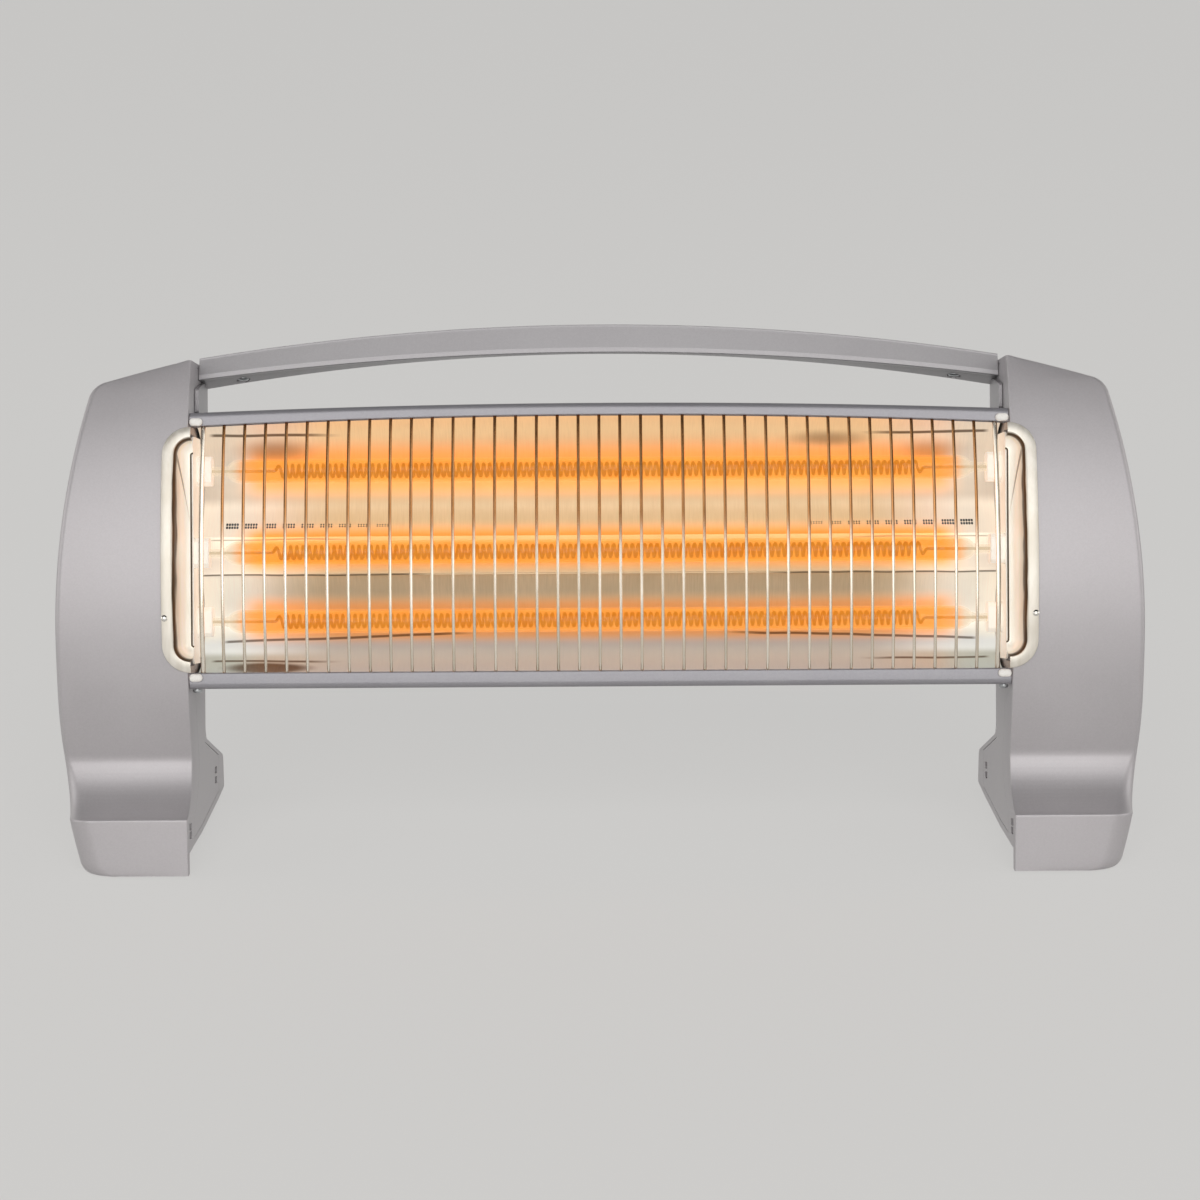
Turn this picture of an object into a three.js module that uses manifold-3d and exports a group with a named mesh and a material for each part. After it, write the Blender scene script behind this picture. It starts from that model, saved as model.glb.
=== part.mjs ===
// Carbon heater: three quartz tubes before a folded reflector, between two casings under a handle
// Millimetres. The face frame has x to the right, y back from the toes' front and z up the leaning face

import * as THREE from "three";
import { mergeVertices, toCreasedNormals } from "three/addons/utils/BufferGeometryUtils.js";
import Module from "manifold-3d";

const wasm = await Module();
wasm.setup();

// Stance: the whole face leans back, and the pads meet the floor on this line of the face frame
const leanDeg = 14;
const lean = THREE.MathUtils.degToRad(leanDeg);
const toeFloor = -137.9;
const floorLine = (y) => toeFloor + y * Math.tan(lean);

// Clearance between pieces that touch, and how far a cutting solid runs past what it cuts
const gap = 0.3;
const overrun = 6;
const mergeDistance = 1e-4;
const miterShare = 0.5;
const endRoundShare = 0.9;
const crownShare = 0.7;
const creaseAngle = THREE.MathUtils.degToRad(32);

// Heights of the face: the handle's top, the casings' top and the opening's edges
const handleTop = 142.4;
const handleRise = 19.1;
const openingDrop = 53.9;
const openingHeight = 124;
const casingTop = handleTop - handleRise;
const openingTop = handleTop - openingDrop;
const openingBottom = openingTop - openingHeight;

// Casings, both sides alike: outline seen from the front
const halfWidth = 272.75;
const casingWidth = 66.25;
const casingInner = halfWidth - casingWidth;
const casingBottom = -136.8;
const casingTopSlopeShare = 0.245;
const casingTopRadius = 800;
const casingTopLand = 2;
const widestTop = -23;
const widestBottom = -49;
const upperSideRadius = 530;
const lowerSideRadius = 320;
const shoulderRadius = 11;
const soleCornerRadius = 9;

// Casings: profile seen from the side
const casingBack = 66;
const casingWall = 2.5;
const frontShellDepth = 24;
const bellyRadius = 250;
const bellyHeight = 18;
const bellyProud = 3.5;
const valleyHeight = -79;
const toeTop = -108.5;
const toeCornerRadius = 12;
const edgeRadius = 3;
const rearEdgeRadius = 5;
const toeBlock = 18;
const toeLip = 4;
const heelDepth = 140;
const heelRise = 2.5;
const heelHeight = 17.5;
const heelSlope = 4;
const heelLength = 28;
const heelBand = 20;
const heelBottom = floorLine(heelDepth) + heelRise;
const flareRise = 12.4;
const flareDepth = heelDepth - heelSlope;
const flareBottom = heelBottom + heelHeight;
const flareTop = flareBottom + flareRise;
const archLength = 60.4;
const archRear = heelDepth - heelLength;
const archRearRise = 3.2;
const archRearHeight = floorLine(archRear) + archRearRise;
const archFront = archRear - archLength;
const archFrontRise = 6.4;
const archFrontHeight = floorLine(archFront) + archFrontRise;
const archLipRise = 11.3;
const archLipHeight = floorLine(toeLip) + archLipRise;
const soleBand = 4;
const soleClearance = 1;
const flareRadius = 8;
const heelRadius = 5;
const heelEdgeRadius = 2;
const leastRadius = 0.3;
const cornerShare = 0.45;
const levelSpacing = 4.2;
const soleLevel = 3;
const bezelRimLap = 3;
const snapWindow = { depth: 8.5, height: 3.6 };
const toeWindowDrops = [2.5, 6.7];
const heelWindowDrops = [5, 10.2];
const heelWindowInset = 39;
const panelRibHeight = 5;
const panelRibInset = 4;
const panelRibWall = 2;
const coverScrewDrop = 27.3;
const coverScrewRise = 12.1;
const coverScrews = {
  top: { out: 27.5, height: casingTop - coverScrewDrop },
  bottom: { out: 39.5, height: flareTop + coverScrewRise },
};
const postRadius = 4.5;
const postLength = 10;

// Opening between the casings, with its rails and guard
const railSag = 4;
const railLowerSag = 5;
const topRailHeight = 7;
const topRailFront = 10.2;
const bottomRailHeight = 8;
const bottomRailFront = 5;
const railDepth = 11;
const railCurl = 3;
const railSheet = 1;
const wireCount = 39;
const endWireInset = 7;
const wirePitch = (2 * (casingInner - endWireInset)) / (wireCount - 1);
const wireRadius = 0.8;
const endWireRadius = 1.2;
const guardTopDepth = 13.4;
const guardMidDepth = 1.2;
const guardBottomDepth = 7.6;
const guardBarHeight = 3;
const guardBarDepth = 2.6;
const guardBarLift = 1;
const guardBarInset = 4.5;
const guardBarEnd = casingInner - guardBarInset;

// Reflector and the steel housing behind it
const reflectorSheet = 0.8;
const reflectorInset = 1.6;
const reflectorEnd = casingInner - reflectorInset;
const reflectorLap = 2;
const stripDepth = 43;
const stripAbove = 8.5;
const stripBelow = 11.5;
const troughDepth = 26;
const troughRise = 24;
const troughLip = 9;
const troughLipRise = 2;
const housingSheet = 1;
const housingBack = 65.5;
const housingCorner = 8;
const housingDrop = 1.5;
const housingReach = 7;
const housingLow = openingBottom - housingReach;
const louvreRows = 4;
const louvreColumns = 3;
const louvreMargin = 34.5;
const louvreWeb = 22;
const louvrePitchX = (2 * (casingInner - louvreMargin) + louvreWeb) / louvreColumns;
const louvreLength = louvrePitchX - louvreWeb;
const louvreHeight = 4;
const louvrePitchZ = 17;

// Bezels: polished cheeks that close the opening's ends
const bezelReach = 12.5;
const bezelOuter = casingInner + bezelReach;
const bezelCorner = 14;
const bezelRim = 5.5;
const bezelSheet = 1;
const bezelCrease = 1.1;
const bezelStep = 2.3;
const bezelBackDepth = 13.7;
const bezelBackInset = 13.3;
const bezelTop = openingTop - gap;
const bezelBottom = openingBottom + gap;
const rivetInset = 1.5;
const rivetRise = 27.7;
const rivetPlace = openingBottom + rivetRise;
const rivetRadius = 1.3;
const rivetHeight = 0.6;
const rivetShank = 0.7;

// Heating elements
const tubeDrops = { top: 21.5, middle: 63.5, bottom: 98.5 };
const tubeDepths = { top: 35, middle: 23, bottom: 35 };
const tubeHeight = (level) => openingTop - tubeDrops[level];
const tubeRadius = 6;
const tubeWall = 1;
const tubeBodyInset = 23.5;
const tubeBody = casingInner - tubeBodyInset;
const tubeNeckInset = 3;
const tubeNeck = casingInner - tubeNeckInset;
const neckRadius = 2.2;
const neckBore = 0.9;
const shoulderLength = 8;
const nibHeight = 1.6;
const nibRadius = 1.6;
const nibPlace = -5.8;
const filamentCurls = 17;
const filamentRadius = 2.3;
const filamentWire = 0.5;
const coilInset = 40.5;
const filamentCoil = casingInner - coilInset;
const leadInset = 1.5;
const filamentLead = casingInner - leadInset;
const curlSteps = 8;
const wireSides = 5;
const capDepth = 10.6;
const capHeight = 15;
const capInset = 8.5;
const capFront = casingInner - capInset;
const capReach = 6.5;
const capRear = casingInner + capReach;
const capCorner = 2;
const capClearance = 1.5;
const bracketSheet = 1;
const bracketCorner = 4;
const bracketFront = 15.3;
const bracketRear = 60;
const bracketMargin = 4.5;
const bracketTop = openingTop - bracketMargin;
const bracketBottom = openingBottom + bracketMargin;

// Handle
const handleFront = 46;
const handleBack = 66;
const handleSplit = 55;
const handleWall = 2.2;
const handleTopSag = 16.4;
const handleFaceHeight = 14.6;
const handleFaceSag = 13.2;
const handleHang = 18.2;
const handleRearDrop = 13.7;
const handleChamfer = 2.6;
const handleEdge = 1.3;
const lugThickness = 1.8;
const lugFront = 31.5;
const lugDrop = 45.4;
const lugBottom = handleTop - lugDrop;
const handleScrewInset = 21.5;
const handleScrewX = casingInner - handleScrewInset;
const handleScrewDepth = 3.4;

// Selector on the right casing's outer side
const knobHeight = 20;
const knobDepth = 43.5;
const knobRadius = 14;
const knobLength = 9.2;
const knobFlutes = 18;
const knobFluteDepth = 0.7;
const knobRidge = 4;
const knobRidgeHeight = 2;
const ridgeTipShare = 0.85;
const ridgeTailShare = 0.3;
const spindleShare = 0.65;
const dishRadius = 15.5;
const dishDepth = 11;
const spindleRadius = 3;
const spindleClearance = 0.5;
const switchSize = 24;
const switchLength = 17;

// Tip-over switch, upright over the floor under the right foot
const tipOut = 31.5;
const tipX = casingInner + tipOut;
const tipShare = 0.543;
const tipDepth = heelDepth * tipShare;
const tipTravel = 5.5;
const tipRadius = 3.5;
const tipClearance = 0.5;
const tipFlangeRadius = 5.5;
const tipFlangeHeight = 14.5;
const tipFlangeThickness = 2;
const tipStemRadius = 1.6;
const tipSpringTop = 30;
const tipSpringWire = 0.5;
const tipSpringRadius = 4;
const tipSpringCurls = 5;
const tipBodyHeight = 14;
const tipBodyWidth = 20;
const tipBodyDepth = 13;
const tipRibWall = 2;

// Small fittings
const padInset = 6;
const padMargin = 25.75;
const padWidth = casingWidth - padInset - padMargin;
const glandOut = 31.5;
const glandX = casingInner + glandOut;
const glandRise = 26.6;
const glandHeight = flareTop + glandRise;
const glandRadius = 6;
const glandFlange = 9;
const glandBore = 3.6;
const glandLength = 9;
const glandRim = 3.6;
const glandCrownShare = 0.8;
const blockOut = 15.5;
const blockX = casingInner + blockOut;
const blockRise = 40.6;
const blockZ = flareTop + blockRise;
const blockWidth = 24;
const blockHeight = 18;
const blockDepth = 14;
const blockWays = 3;
const blockBoreShare = 0.3;
const cutoutDepth = 48;
const cutoutDrop = 25.3;
const cutoutZ = casingTop - cutoutDrop;
const cutoutRadius = 7;
const cutoutHeight = 6;
const cutoutPlate = 1.2;
const cutoutEarShare = 1.7;
const screwHead = 3.2;
const screwHeadHeight = 1.8;
const screwShank = 1.5;
const screwLength = 8;
const railScrewInset = 3.5;
const railScrewX = casingInner - railScrewInset;
const railScrewHead = 2.4;
const railScrewHeight = 1.8;
const railScrewShank = 1.1;
const clipWidth = 6.7;
const clipHeight = 4;
const clipThickness = 1.6;

const materials = {
  paint: { color: 0xb4b1b3, roughness: 0.42, metalness: 0.35 },
  handlePaint: { color: 0xb0adaf, roughness: 0.45, metalness: 0.3 },
  railPaint: { color: 0xa5a2a4, roughness: 0.4, metalness: 0.4 },
  polished: { color: 0xe8dfd0, roughness: 0.1, metalness: 1 },
  chrome: { color: 0xd8d4cf, roughness: 0.12, metalness: 1 },
  zinc: { color: 0x9ea1a3, roughness: 0.45, metalness: 0.9 },
  quartz: { color: 0xffb257, roughness: 0.06, metalness: 0, transparent: true, opacity: 0.4 },
  glow: { color: 0xff8a1e, roughness: 0.6, metalness: 0, emissive: 0xff7a10 },
  ceramic: { color: 0xf1ece2, roughness: 0.55, metalness: 0 },
  dark: { color: 0x2b2b2d, roughness: 0.55, metalness: 0 },
  knob: { color: 0x8d8b8d, roughness: 0.4, metalness: 0.2 },
  rubber: { color: 0xc9c4bb, roughness: 0.85, metalness: 0 },
};

const face = new THREE.Group();
face.rotation.x = -lean;

// Upright pieces are drawn over the floor at height zero and turned into the face frame
const floorToFace = new THREE.Matrix4()
  .makeRotationX(lean)
  .multiply(new THREE.Matrix4().makeTranslation(0, 0, toeFloor * Math.cos(lean)));
const faceToFloor = floorToFace.clone().invert();

const at = (x, y) => new THREE.Vector2(x, y);
const point = (x, y, z) => new THREE.Vector3(x, y, z);

// A closed mesh as a solid that can be joined and cut
function solid(geometry) {
  const bare = geometry.clone();
  bare.deleteAttribute("normal");
  bare.deleteAttribute("uv");
  const merged = mergeVertices(bare, mergeDistance);
  return new wasm.Manifold(
    new wasm.Mesh({
      numProp: 3,
      vertProperties: Float32Array.from(merged.attributes.position.array),
      triVerts: Uint32Array.from(merged.index.array),
    }),
  );
}

function geometryOf(made) {
  const { vertProperties, triVerts } = made.getMesh();
  const geometry = new THREE.BufferGeometry();
  geometry.setAttribute("position", new THREE.BufferAttribute(vertProperties, 3));
  geometry.setIndex(new THREE.BufferAttribute(triVerts, 1));
  return geometry;
}

// The same solid on the other side of the middle plane
const mirrored = (made) => made.mirror([1, 0, 0]);

const moved = (made, matrix) => made.transform(matrix.elements);

function add(name, made, material) {
  const geometry = toCreasedNormals(geometryOf(made), creaseAngle);
  const mesh = new THREE.Mesh(geometry, new THREE.MeshStandardMaterial(materials[material]));
  mesh.name = name;
  face.add(mesh);
  return mesh;
}

// A flat outline pushed along an axis: outlines read (y, z) along x, (x, z) along y and (x, y) along z
function prism(outline, axis, from, to, holes = []) {
  const shape = new THREE.Shape(outline);
  shape.holes = holes.map((hole) => new THREE.Path(hole));
  const geometry = new THREE.ExtrudeGeometry(shape, { depth: to - from, bevelEnabled: false, steps: 1 });
  const [x, y, z] = [point(1, 0, 0), point(0, 1, 0), point(0, 0, 1)];
  const turn = new THREE.Matrix4();
  if (axis === "x") turn.makeBasis(y, z, x).setPosition(from, 0, 0);
  if (axis === "y") turn.makeBasis(x, z, y.clone().negate()).setPosition(0, to, 0);
  if (axis === "z") turn.setPosition(0, 0, from);
  return solid(geometry.applyMatrix4(turn));
}

// A profile of (radius, distance) points turned about an axis through a point
function revolved(profile, segments, axis, centre) {
  const geometry = new THREE.LatheGeometry(profile, segments);
  if (axis === "x") geometry.rotateZ(-Math.PI / 2);
  if (axis === "z") geometry.rotateX(Math.PI / 2);
  return solid(geometry.translate(centre.x, centre.y, centre.z));
}

function rod(radius, from, to, segments, axis, centre) {
  return revolved([at(0, from), at(radius, from), at(radius, to), at(0, to)], segments, axis, centre);
}

function rectangle(x0, y0, x1, y1) {
  return [at(x0, y0), at(x1, y0), at(x1, y1), at(x0, y1)];
}

// Corners given as {x, y, r} with arcs of radius r, each in the given number of steps
function rounded(corners, steps, closed = true) {
  const out = [];
  corners.forEach((corner, i) => {
    const here = at(corner.x, corner.y);
    if (!corner.r || (!closed && (i === 0 || i === corners.length - 1))) {
      out.push(here);
      return;
    }
    const before = corners[(i + corners.length - 1) % corners.length];
    const after = corners[(i + 1) % corners.length];
    const a = at(before.x, before.y).sub(here).normalize();
    const b = at(after.x, after.y).sub(here).normalize();
    const half = Math.acos(THREE.MathUtils.clamp(a.dot(b), -1, 1)) / 2;
    const centre = here.clone().addScaledVector(a.clone().add(b).normalize(), corner.r / Math.sin(half));
    const start = here.clone().addScaledVector(a, corner.r / Math.tan(half)).sub(centre);
    const end = here.clone().addScaledVector(b, corner.r / Math.tan(half)).sub(centre);
    const turn = Math.atan2(start.cross(end), start.dot(end));
    for (let k = 0; k <= steps; k++) {
      out.push(start.clone().rotateAround(at(0, 0), (turn * k) / steps).add(centre));
    }
  });
  return out;
}

function roundedRectangle(x0, y0, x1, y1, r, steps) {
  return rounded(rectangle(x0, y0, x1, y1).map((p) => ({ x: p.x, y: p.y, r })), steps);
}

// A line or loop of points moved sideways by a distance, to the right of its direction
function offset(points, distance, closed = false) {
  const count = points.length;
  return points.map((p, i) => {
    const before = closed ? points[(i + count - 1) % count] : points[Math.max(i - 1, 0)];
    const after = closed ? points[(i + 1) % count] : points[Math.min(i + 1, count - 1)];
    const a = p.clone().sub(before).normalize();
    const b = after.clone().sub(p).normalize();
    const along = a.clone().add(b).normalize();
    const stretch = Math.max(along.dot(a.lengthSq() ? a : b), miterShare);
    return p.clone().add(at(along.y, -along.x).multiplyScalar(distance / stretch));
  });
}

// Value at a height on a line of (value, height) points that runs downwards
function along(points, height) {
  for (let i = 1; i < points.length; i++) {
    const [a, b] = [points[i - 1], points[i]];
    if (height >= b.y || i === points.length - 1) {
      const t = THREE.MathUtils.clamp((a.y - height) / (a.y - b.y || 1), 0, 1);
      return THREE.MathUtils.lerp(a.x, b.x, t);
    }
  }
}

// The triangles that close a flat ring, wound as the ring is
function capFaces(ring) {
  const normal = point(0, 0, 0);
  ring.forEach((p, i) => normal.add(p.clone().cross(ring[(i + 1) % ring.length])));
  const u = ring[1].clone().sub(ring[0]).normalize();
  const v = normal.normalize().clone().cross(u);
  const flat = ring.map((p) => at(p.dot(u), p.dot(v)));
  return THREE.ShapeUtils.triangulateShape(flat, []).map(([a, b, c]) =>
    flat[b].clone().sub(flat[a]).cross(flat[c].clone().sub(flat[a])) > 0 ? [a, b, c] : [a, c, b],
  );
}

// A skin through rings of equally many points, closed at both ends
function loft(rings) {
  const count = rings[0].length;
  const last = (rings.length - 1) * count;
  const index = [];
  for (let start = 0; start < last; start += count) {
    for (let i = 0; i < count; i++) {
      const a = start + i;
      const b = start + ((i + 1) % count);
      index.push(a, b, b + count, a, b + count, a + count);
    }
  }
  for (const [a, b, c] of capFaces(rings[0])) index.push(c, b, a);
  for (const [a, b, c] of capFaces(rings.at(-1))) index.push(last + a, last + b, last + c);
  const corners = rings.flat();
  const volume = index.reduce((sum, _, i) => {
    if (i % 3) return sum;
    const [a, b, c] = [corners[index[i]], corners[index[i + 1]], corners[index[i + 2]]];
    return sum + a.dot(b.clone().cross(c));
  }, 0);
  if (volume < 0) index.reverse();
  const geometry = new THREE.BufferGeometry().setFromPoints(corners);
  geometry.setIndex(index);
  return solid(geometry);
}

// A round section carried along a line of points, its frame turned as little as possible
function wound(points, radius, sides) {
  let side = point(0, 0, 1);
  const rings = points.map((p, i) => {
    const ahead = points[Math.min(i + 1, points.length - 1)];
    const behind = points[Math.max(i - 1, 0)];
    const direction = ahead.clone().sub(behind).normalize();
    side = side.clone().addScaledVector(direction, -side.dot(direction)).normalize();
    const up = direction.clone().cross(side);
    return Array.from({ length: sides }, (_, k) => {
      const turn = (2 * Math.PI * k) / sides;
      const out = side.clone().multiplyScalar(radius * Math.cos(turn));
      return out.addScaledVector(up, radius * Math.sin(turn)).add(p);
    });
  });
  return loft(rings);
}

const sagitta = (rise, radius) => radius - Math.sqrt(radius ** 2 - rise ** 2);
const bow = (x, sag) => sag * (1 - (x / casingInner) ** 2);
const range = (count) => Array.from({ length: count }, (_, i) => i);

// Casing lines

const topEdge = (x) =>
  casingTop - casingTopSlopeShare * (x - casingInner) - (x - casingInner) ** 2 / (2 * casingTopRadius);
const sideEdge = (z) =>
  halfWidth -
  sagitta(Math.max(z - widestTop, 0), upperSideRadius) -
  sagitta(Math.max(widestBottom - z, 0), lowerSideRadius);
const belly = (z) => sagitta(z - bellyHeight, bellyRadius) - bellyProud;

// The casing's outer edge seen from the front, from the top's inner end round to the sole
function casingOutline() {
  let shoulder = casingTop;
  for (let i = 0; i < 12; i++) shoulder = topEdge(sideEdge(shoulder));
  const topSteps = 3;
  const sideSteps = 11;
  const corners = [];
  for (let i = 0; i < topSteps; i++) {
    const x = THREE.MathUtils.lerp(casingInner + casingTopLand, sideEdge(shoulder), i / topSteps);
    corners.push({ x, y: topEdge(x) });
  }
  corners.push({ x: sideEdge(shoulder), y: shoulder, r: shoulderRadius });
  for (let i = 1; i < sideSteps; i++) {
    const z = THREE.MathUtils.lerp(shoulder, casingBottom, i / sideSteps);
    corners.push({ x: sideEdge(z), y: z });
  }
  corners.push({ x: sideEdge(casingBottom), y: casingBottom, r: soleCornerRadius });
  corners.push({ x: casingInner, y: casingBottom });
  return rounded(corners, 4, false).slice(0, -1);
}

// The front seen from the side: belly, valley, scoop and toe, as (depth, height)
function frontProfile() {
  const bellySteps = 9;
  const scoopSteps = 6;
  const valley = belly(valleyHeight);
  const rise = valleyHeight - toeTop;
  const radius = (valley ** 2 + rise ** 2) / (2 * valley);
  const sweep = Math.asin(rise / radius);
  const line = range(bellySteps).map((i) => {
    const z = THREE.MathUtils.lerp(casingTop, valleyHeight, i / bellySteps);
    return at(belly(z), z);
  });
  for (let i = 0; i <= scoopSteps; i++) {
    const turn = (sweep * i) / scoopSteps;
    line.push(at(valley - radius * (1 - Math.cos(turn)), valleyHeight - radius * Math.sin(turn)));
  }
  line.push(at(0, casingBottom));
  return line;
}

// The back seen from the side: leg, flare, heel and the arch under the foot, as (depth, height)
function backProfile() {
  return rounded(
    [
      { x: casingBack, y: casingTop },
      { x: casingBack, y: flareTop, r: flareRadius },
      { x: flareDepth, y: flareBottom, r: heelRadius },
      { x: heelDepth, y: heelBottom, r: heelEdgeRadius },
      { x: archRear, y: archRearHeight },
      { x: archFront, y: archFrontHeight },
      { x: toeBlock, y: archRoof(toeBlock) },
      { x: toeBlock, y: casingBottom },
    ],
    3,
    false,
  );
}

// Height of the foot's underside over the toe recess
const archRoof = (y) =>
  THREE.MathUtils.mapLinear(y, toeLip, archFront, archLipHeight, archFrontHeight);

const outline = casingOutline();
const front = frontProfile();
const back = backProfile();

// Edge radius of the front: small down to the valley, growing to the toe's round corner
function frontRadius(z) {
  const t = THREE.MathUtils.clamp((valleyHeight - z) / (valleyHeight - toeTop), 0, 1);
  return THREE.MathUtils.lerp(edgeRadius, toeCornerRadius, t);
}

// Heights where a casing's lines bend, with near neighbours left out
function casingLevels(top, bottom, lines) {
  const keys = [top, toeTop, valleyHeight, flareTop, bottom + soleLevel, bottom];
  const all = lines.flat().map((p) => p.y).filter((z) => z < top && z > bottom);
  const kept = [...keys];
  for (const z of all.sort((a, b) => b - a)) {
    if (kept.every((k) => Math.abs(k - z) > levelSpacing)) kept.push(z);
  }
  return kept.sort((a, b) => b - a);
}

// One level of a casing seen from above: inner front corner, round outer corners, inner back corner
function casingRing(z, inset, lines) {
  const inner = casingInner + inset;
  const outer = along(lines.outline, z);
  const near = along(lines.front, z);
  const far = along(lines.back, z);
  const across = cornerShare * (outer - inner);
  const farRadius = Math.min(Math.max(rearEdgeRadius - inset, leastRadius), across);
  const nearMost = Math.min(across, far - near - farRadius);
  const nearRadius = Math.min(Math.max(frontRadius(z) - inset, leastRadius), nearMost);
  const corner = (cx, cy, radius, from, steps) =>
    range(steps + 1).map((i) => {
      const turn = from + (Math.PI / 2) * (i / steps);
      return point(cx + radius * Math.cos(turn), cy + radius * Math.sin(turn), z);
    });
  return [
    point(inner, near, z),
    ...corner(outer - nearRadius, near + nearRadius, nearRadius, -Math.PI / 2, 3),
    ...corner(outer - farRadius, far - farRadius, farRadius, 0, 2),
    point(inner, far, z),
  ];
}

function casingSkin(inset) {
  const lines = {
    outline: offset(outline, inset),
    front: offset(front, -inset),
    back: offset(back, inset),
  };
  const top = topEdge(casingInner + casingTopLand + inset) - inset * Math.hypot(1, casingTopSlopeShare);
  const bottom = inset ? archRoof(toeBlock) + inset : casingBottom;
  const levels = casingLevels(top, bottom, [lines.outline, lines.front, lines.back]);
  return loft(levels.map((z) => casingRing(z, inset, lines)));
}

// Region in front of a line that keeps a distance behind the front, as an outline of (depth, height)
function aheadOf(depth) {
  const line = front.map((p) => at(p.x + depth, p.y));
  const high = at(line[0].x, casingTop + overrun);
  const low = at(line.at(-1).x, casingBottom - overrun);
  const ahead = -bellyProud - overrun;
  return [at(ahead, high.y), high, ...line, low, at(ahead, low.y)].reverse();
}

// The recess behind the toe's lip, open towards the middle and under the arch
function toeRecess() {
  const outer = sideEdge(casingBottom) - toeLip;
  const inner = casingInner - overrun;
  const plan = rounded(
    [
      { x: inner, y: toeLip },
      { x: outer, y: toeLip, r: toeCornerRadius - toeLip },
      { x: outer, y: toeBlock + overrun },
      { x: inner, y: toeBlock + overrun },
    ],
    4,
  );
  const far = toeBlock + overrun;
  const side = [
    at(toeLip - overrun, casingBottom - overrun),
    at(far, casingBottom - overrun),
    at(far, archRoof(far)),
    at(toeLip - overrun, archRoof(toeLip - overrun)),
  ];
  return prism(plan, "z", casingBottom - overrun, archLipHeight + overrun).intersect(
    prism(side, "x", inner - overrun, outer + overrun),
  );
}

// Outline of the inner panel from the side, inside the rear cover's band
function panelOutline() {
  const top = casingTop - casingWall - gap;
  const line = front
    .map((p) => at(p.x + frontShellDepth + gap, p.y))
    .filter((p) => p.y < top && p.y > archFrontHeight);
  const lead = at(along(front, top) + frontShellDepth + gap, top);
  const rear = casingBack - casingWall - gap;
  const seamTop = at(rear, flareTop - casingWall);
  const seamRear = flareDepth - heelBand;
  const rise = (flareBottom - flareTop) / (flareDepth - casingBack);
  const tip = at(line.at(-1).x, archRoof(line.at(-1).x) + soleBand);
  return [
    lead,
    ...line,
    tip,
    at(archFront, archFrontHeight + soleBand),
    at(seamRear, archRearHeight + soleBand + (seamRear - archRear) * Math.tan(lean)),
    at(seamRear, seamTop.y + rise * (seamRear - rear)),
    seamTop,
    at(rear, top),
  ];
}

// Everything below the level at which the moulding clears the floor
function underFloor() {
  const far = heelDepth + overrun;
  const low = casingBottom - overrun * 2;
  const side = [
    at(-overrun, floorLine(-overrun) + soleClearance),
    at(-overrun, low),
    at(far, low),
    at(far, floorLine(far) + soleClearance),
  ];
  return prism(side, "x", casingInner - overrun, halfWidth + overrun);
}

const casing = casingSkin(0);
const casingWalls = casing.subtract(casingSkin(casingWall)).subtract(toeRecess()).subtract(underFloor());
const panel = panelOutline();

// Front shell: painted moulding with the bezel's notch and two snap windows at the toe
function frontShell() {
  const notch = roundedRectangle(
    casingInner - bezelCorner - overrun,
    bezelBottom + bezelRimLap,
    bezelOuter - bezelRimLap,
    bezelTop - bezelRimLap,
    bezelCorner - bezelRimLap,
    4,
  );
  const rivetHole = rod(rivetShank + gap, -overrun, overrun, 8, "y", rivetSeat());
  const shell = casingWalls
    .intersect(prism(aheadOf(frontShellDepth), "x", casingInner - overrun, halfWidth + overrun))
    .subtract(prism(notch, "y", -bellyProud - overrun, casingBack))
    .subtract(rivetHole);
  return withWindows(shell, toeLip, toeWindowDrops.map((drop) => toeTop - drop));
}

// Snap windows through a casing's inner wall, one above the other
function withWindows(made, depth, heights) {
  return heights.reduce((cut, z) => {
    const window = rectangle(depth, z - snapWindow.height, depth + snapWindow.depth, z);
    return cut.subtract(prism(window, "x", casingInner - overrun, casingInner + casingWall + gap));
  }, made);
}

const rivetSeat = () => point(bezelOuter - rivetInset, belly(rivetPlace), rivetPlace);

// Inner panel: flat plate with a rim inside, a notch for the ceramic caps and two snap windows
function innerPanel() {
  const notch = rectangle(
    0,
    tubeHeight("bottom") - capHeight / 2 - capClearance,
    tubeDepths.top + capDepth / 2 + capClearance,
    tubeHeight("top") + capHeight / 2 + capClearance,
  );
  const ribBack = casingBack - casingWall - panelRibInset;
  const ribTop = casingTop - casingWall * 2 - panelRibInset;
  const rib = rectangle(ribBack - panelRibWall, flareTop, ribBack, ribTop);
  const far = casingInner + casingWall + panelRibHeight;
  const plate = prism(panel, "x", casingInner, casingInner + casingWall)
    .add(prism(rib, "x", casingInner + casingWall / 2, far))
    .subtract(prism(notch, "x", casingInner - overrun, far + overrun));
  return withWindows(
    plate,
    heelDepth - heelWindowInset,
    heelWindowDrops.map((drop) => flareBottom - drop),
  );
}

// The space that the inner panel takes out of the rear cover, with its clearance
function panelSpace() {
  const grown = offset(panel, gap, true);
  return prism(grown, "x", casingInner - overrun, casingInner + casingWall + gap);
}

// Rear cover: back, outer side, heel and sole in one moulding, with two screw posts
function rearCover() {
  const ahead = prism(aheadOf(frontShellDepth + gap), "x", casingInner - overrun, halfWidth + overrun);
  let made = casingWalls.subtract(ahead).subtract(panelSpace());
  for (const place of Object.values(coverScrews)) {
    const seat = onCoverBack(place, -casingWall / 2);
    made = made
      .add(rod(postRadius, -postLength, 0, 12, "y", seat))
      .subtract(rod(screwShank + gap, -postLength - overrun, casingWall + overrun, 8, "y", seat));
  }
  return made;
}

// Where a cover screw sits, at a distance behind the casing's back
const onCoverBack = ({ out, height }, behind) =>
  point(casingInner + out, casingBack + behind, height);

const dishCentre = point(sideEdge(knobHeight), knobDepth, knobHeight);
const dishFloor = dishCentre.x - dishDepth;

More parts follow.
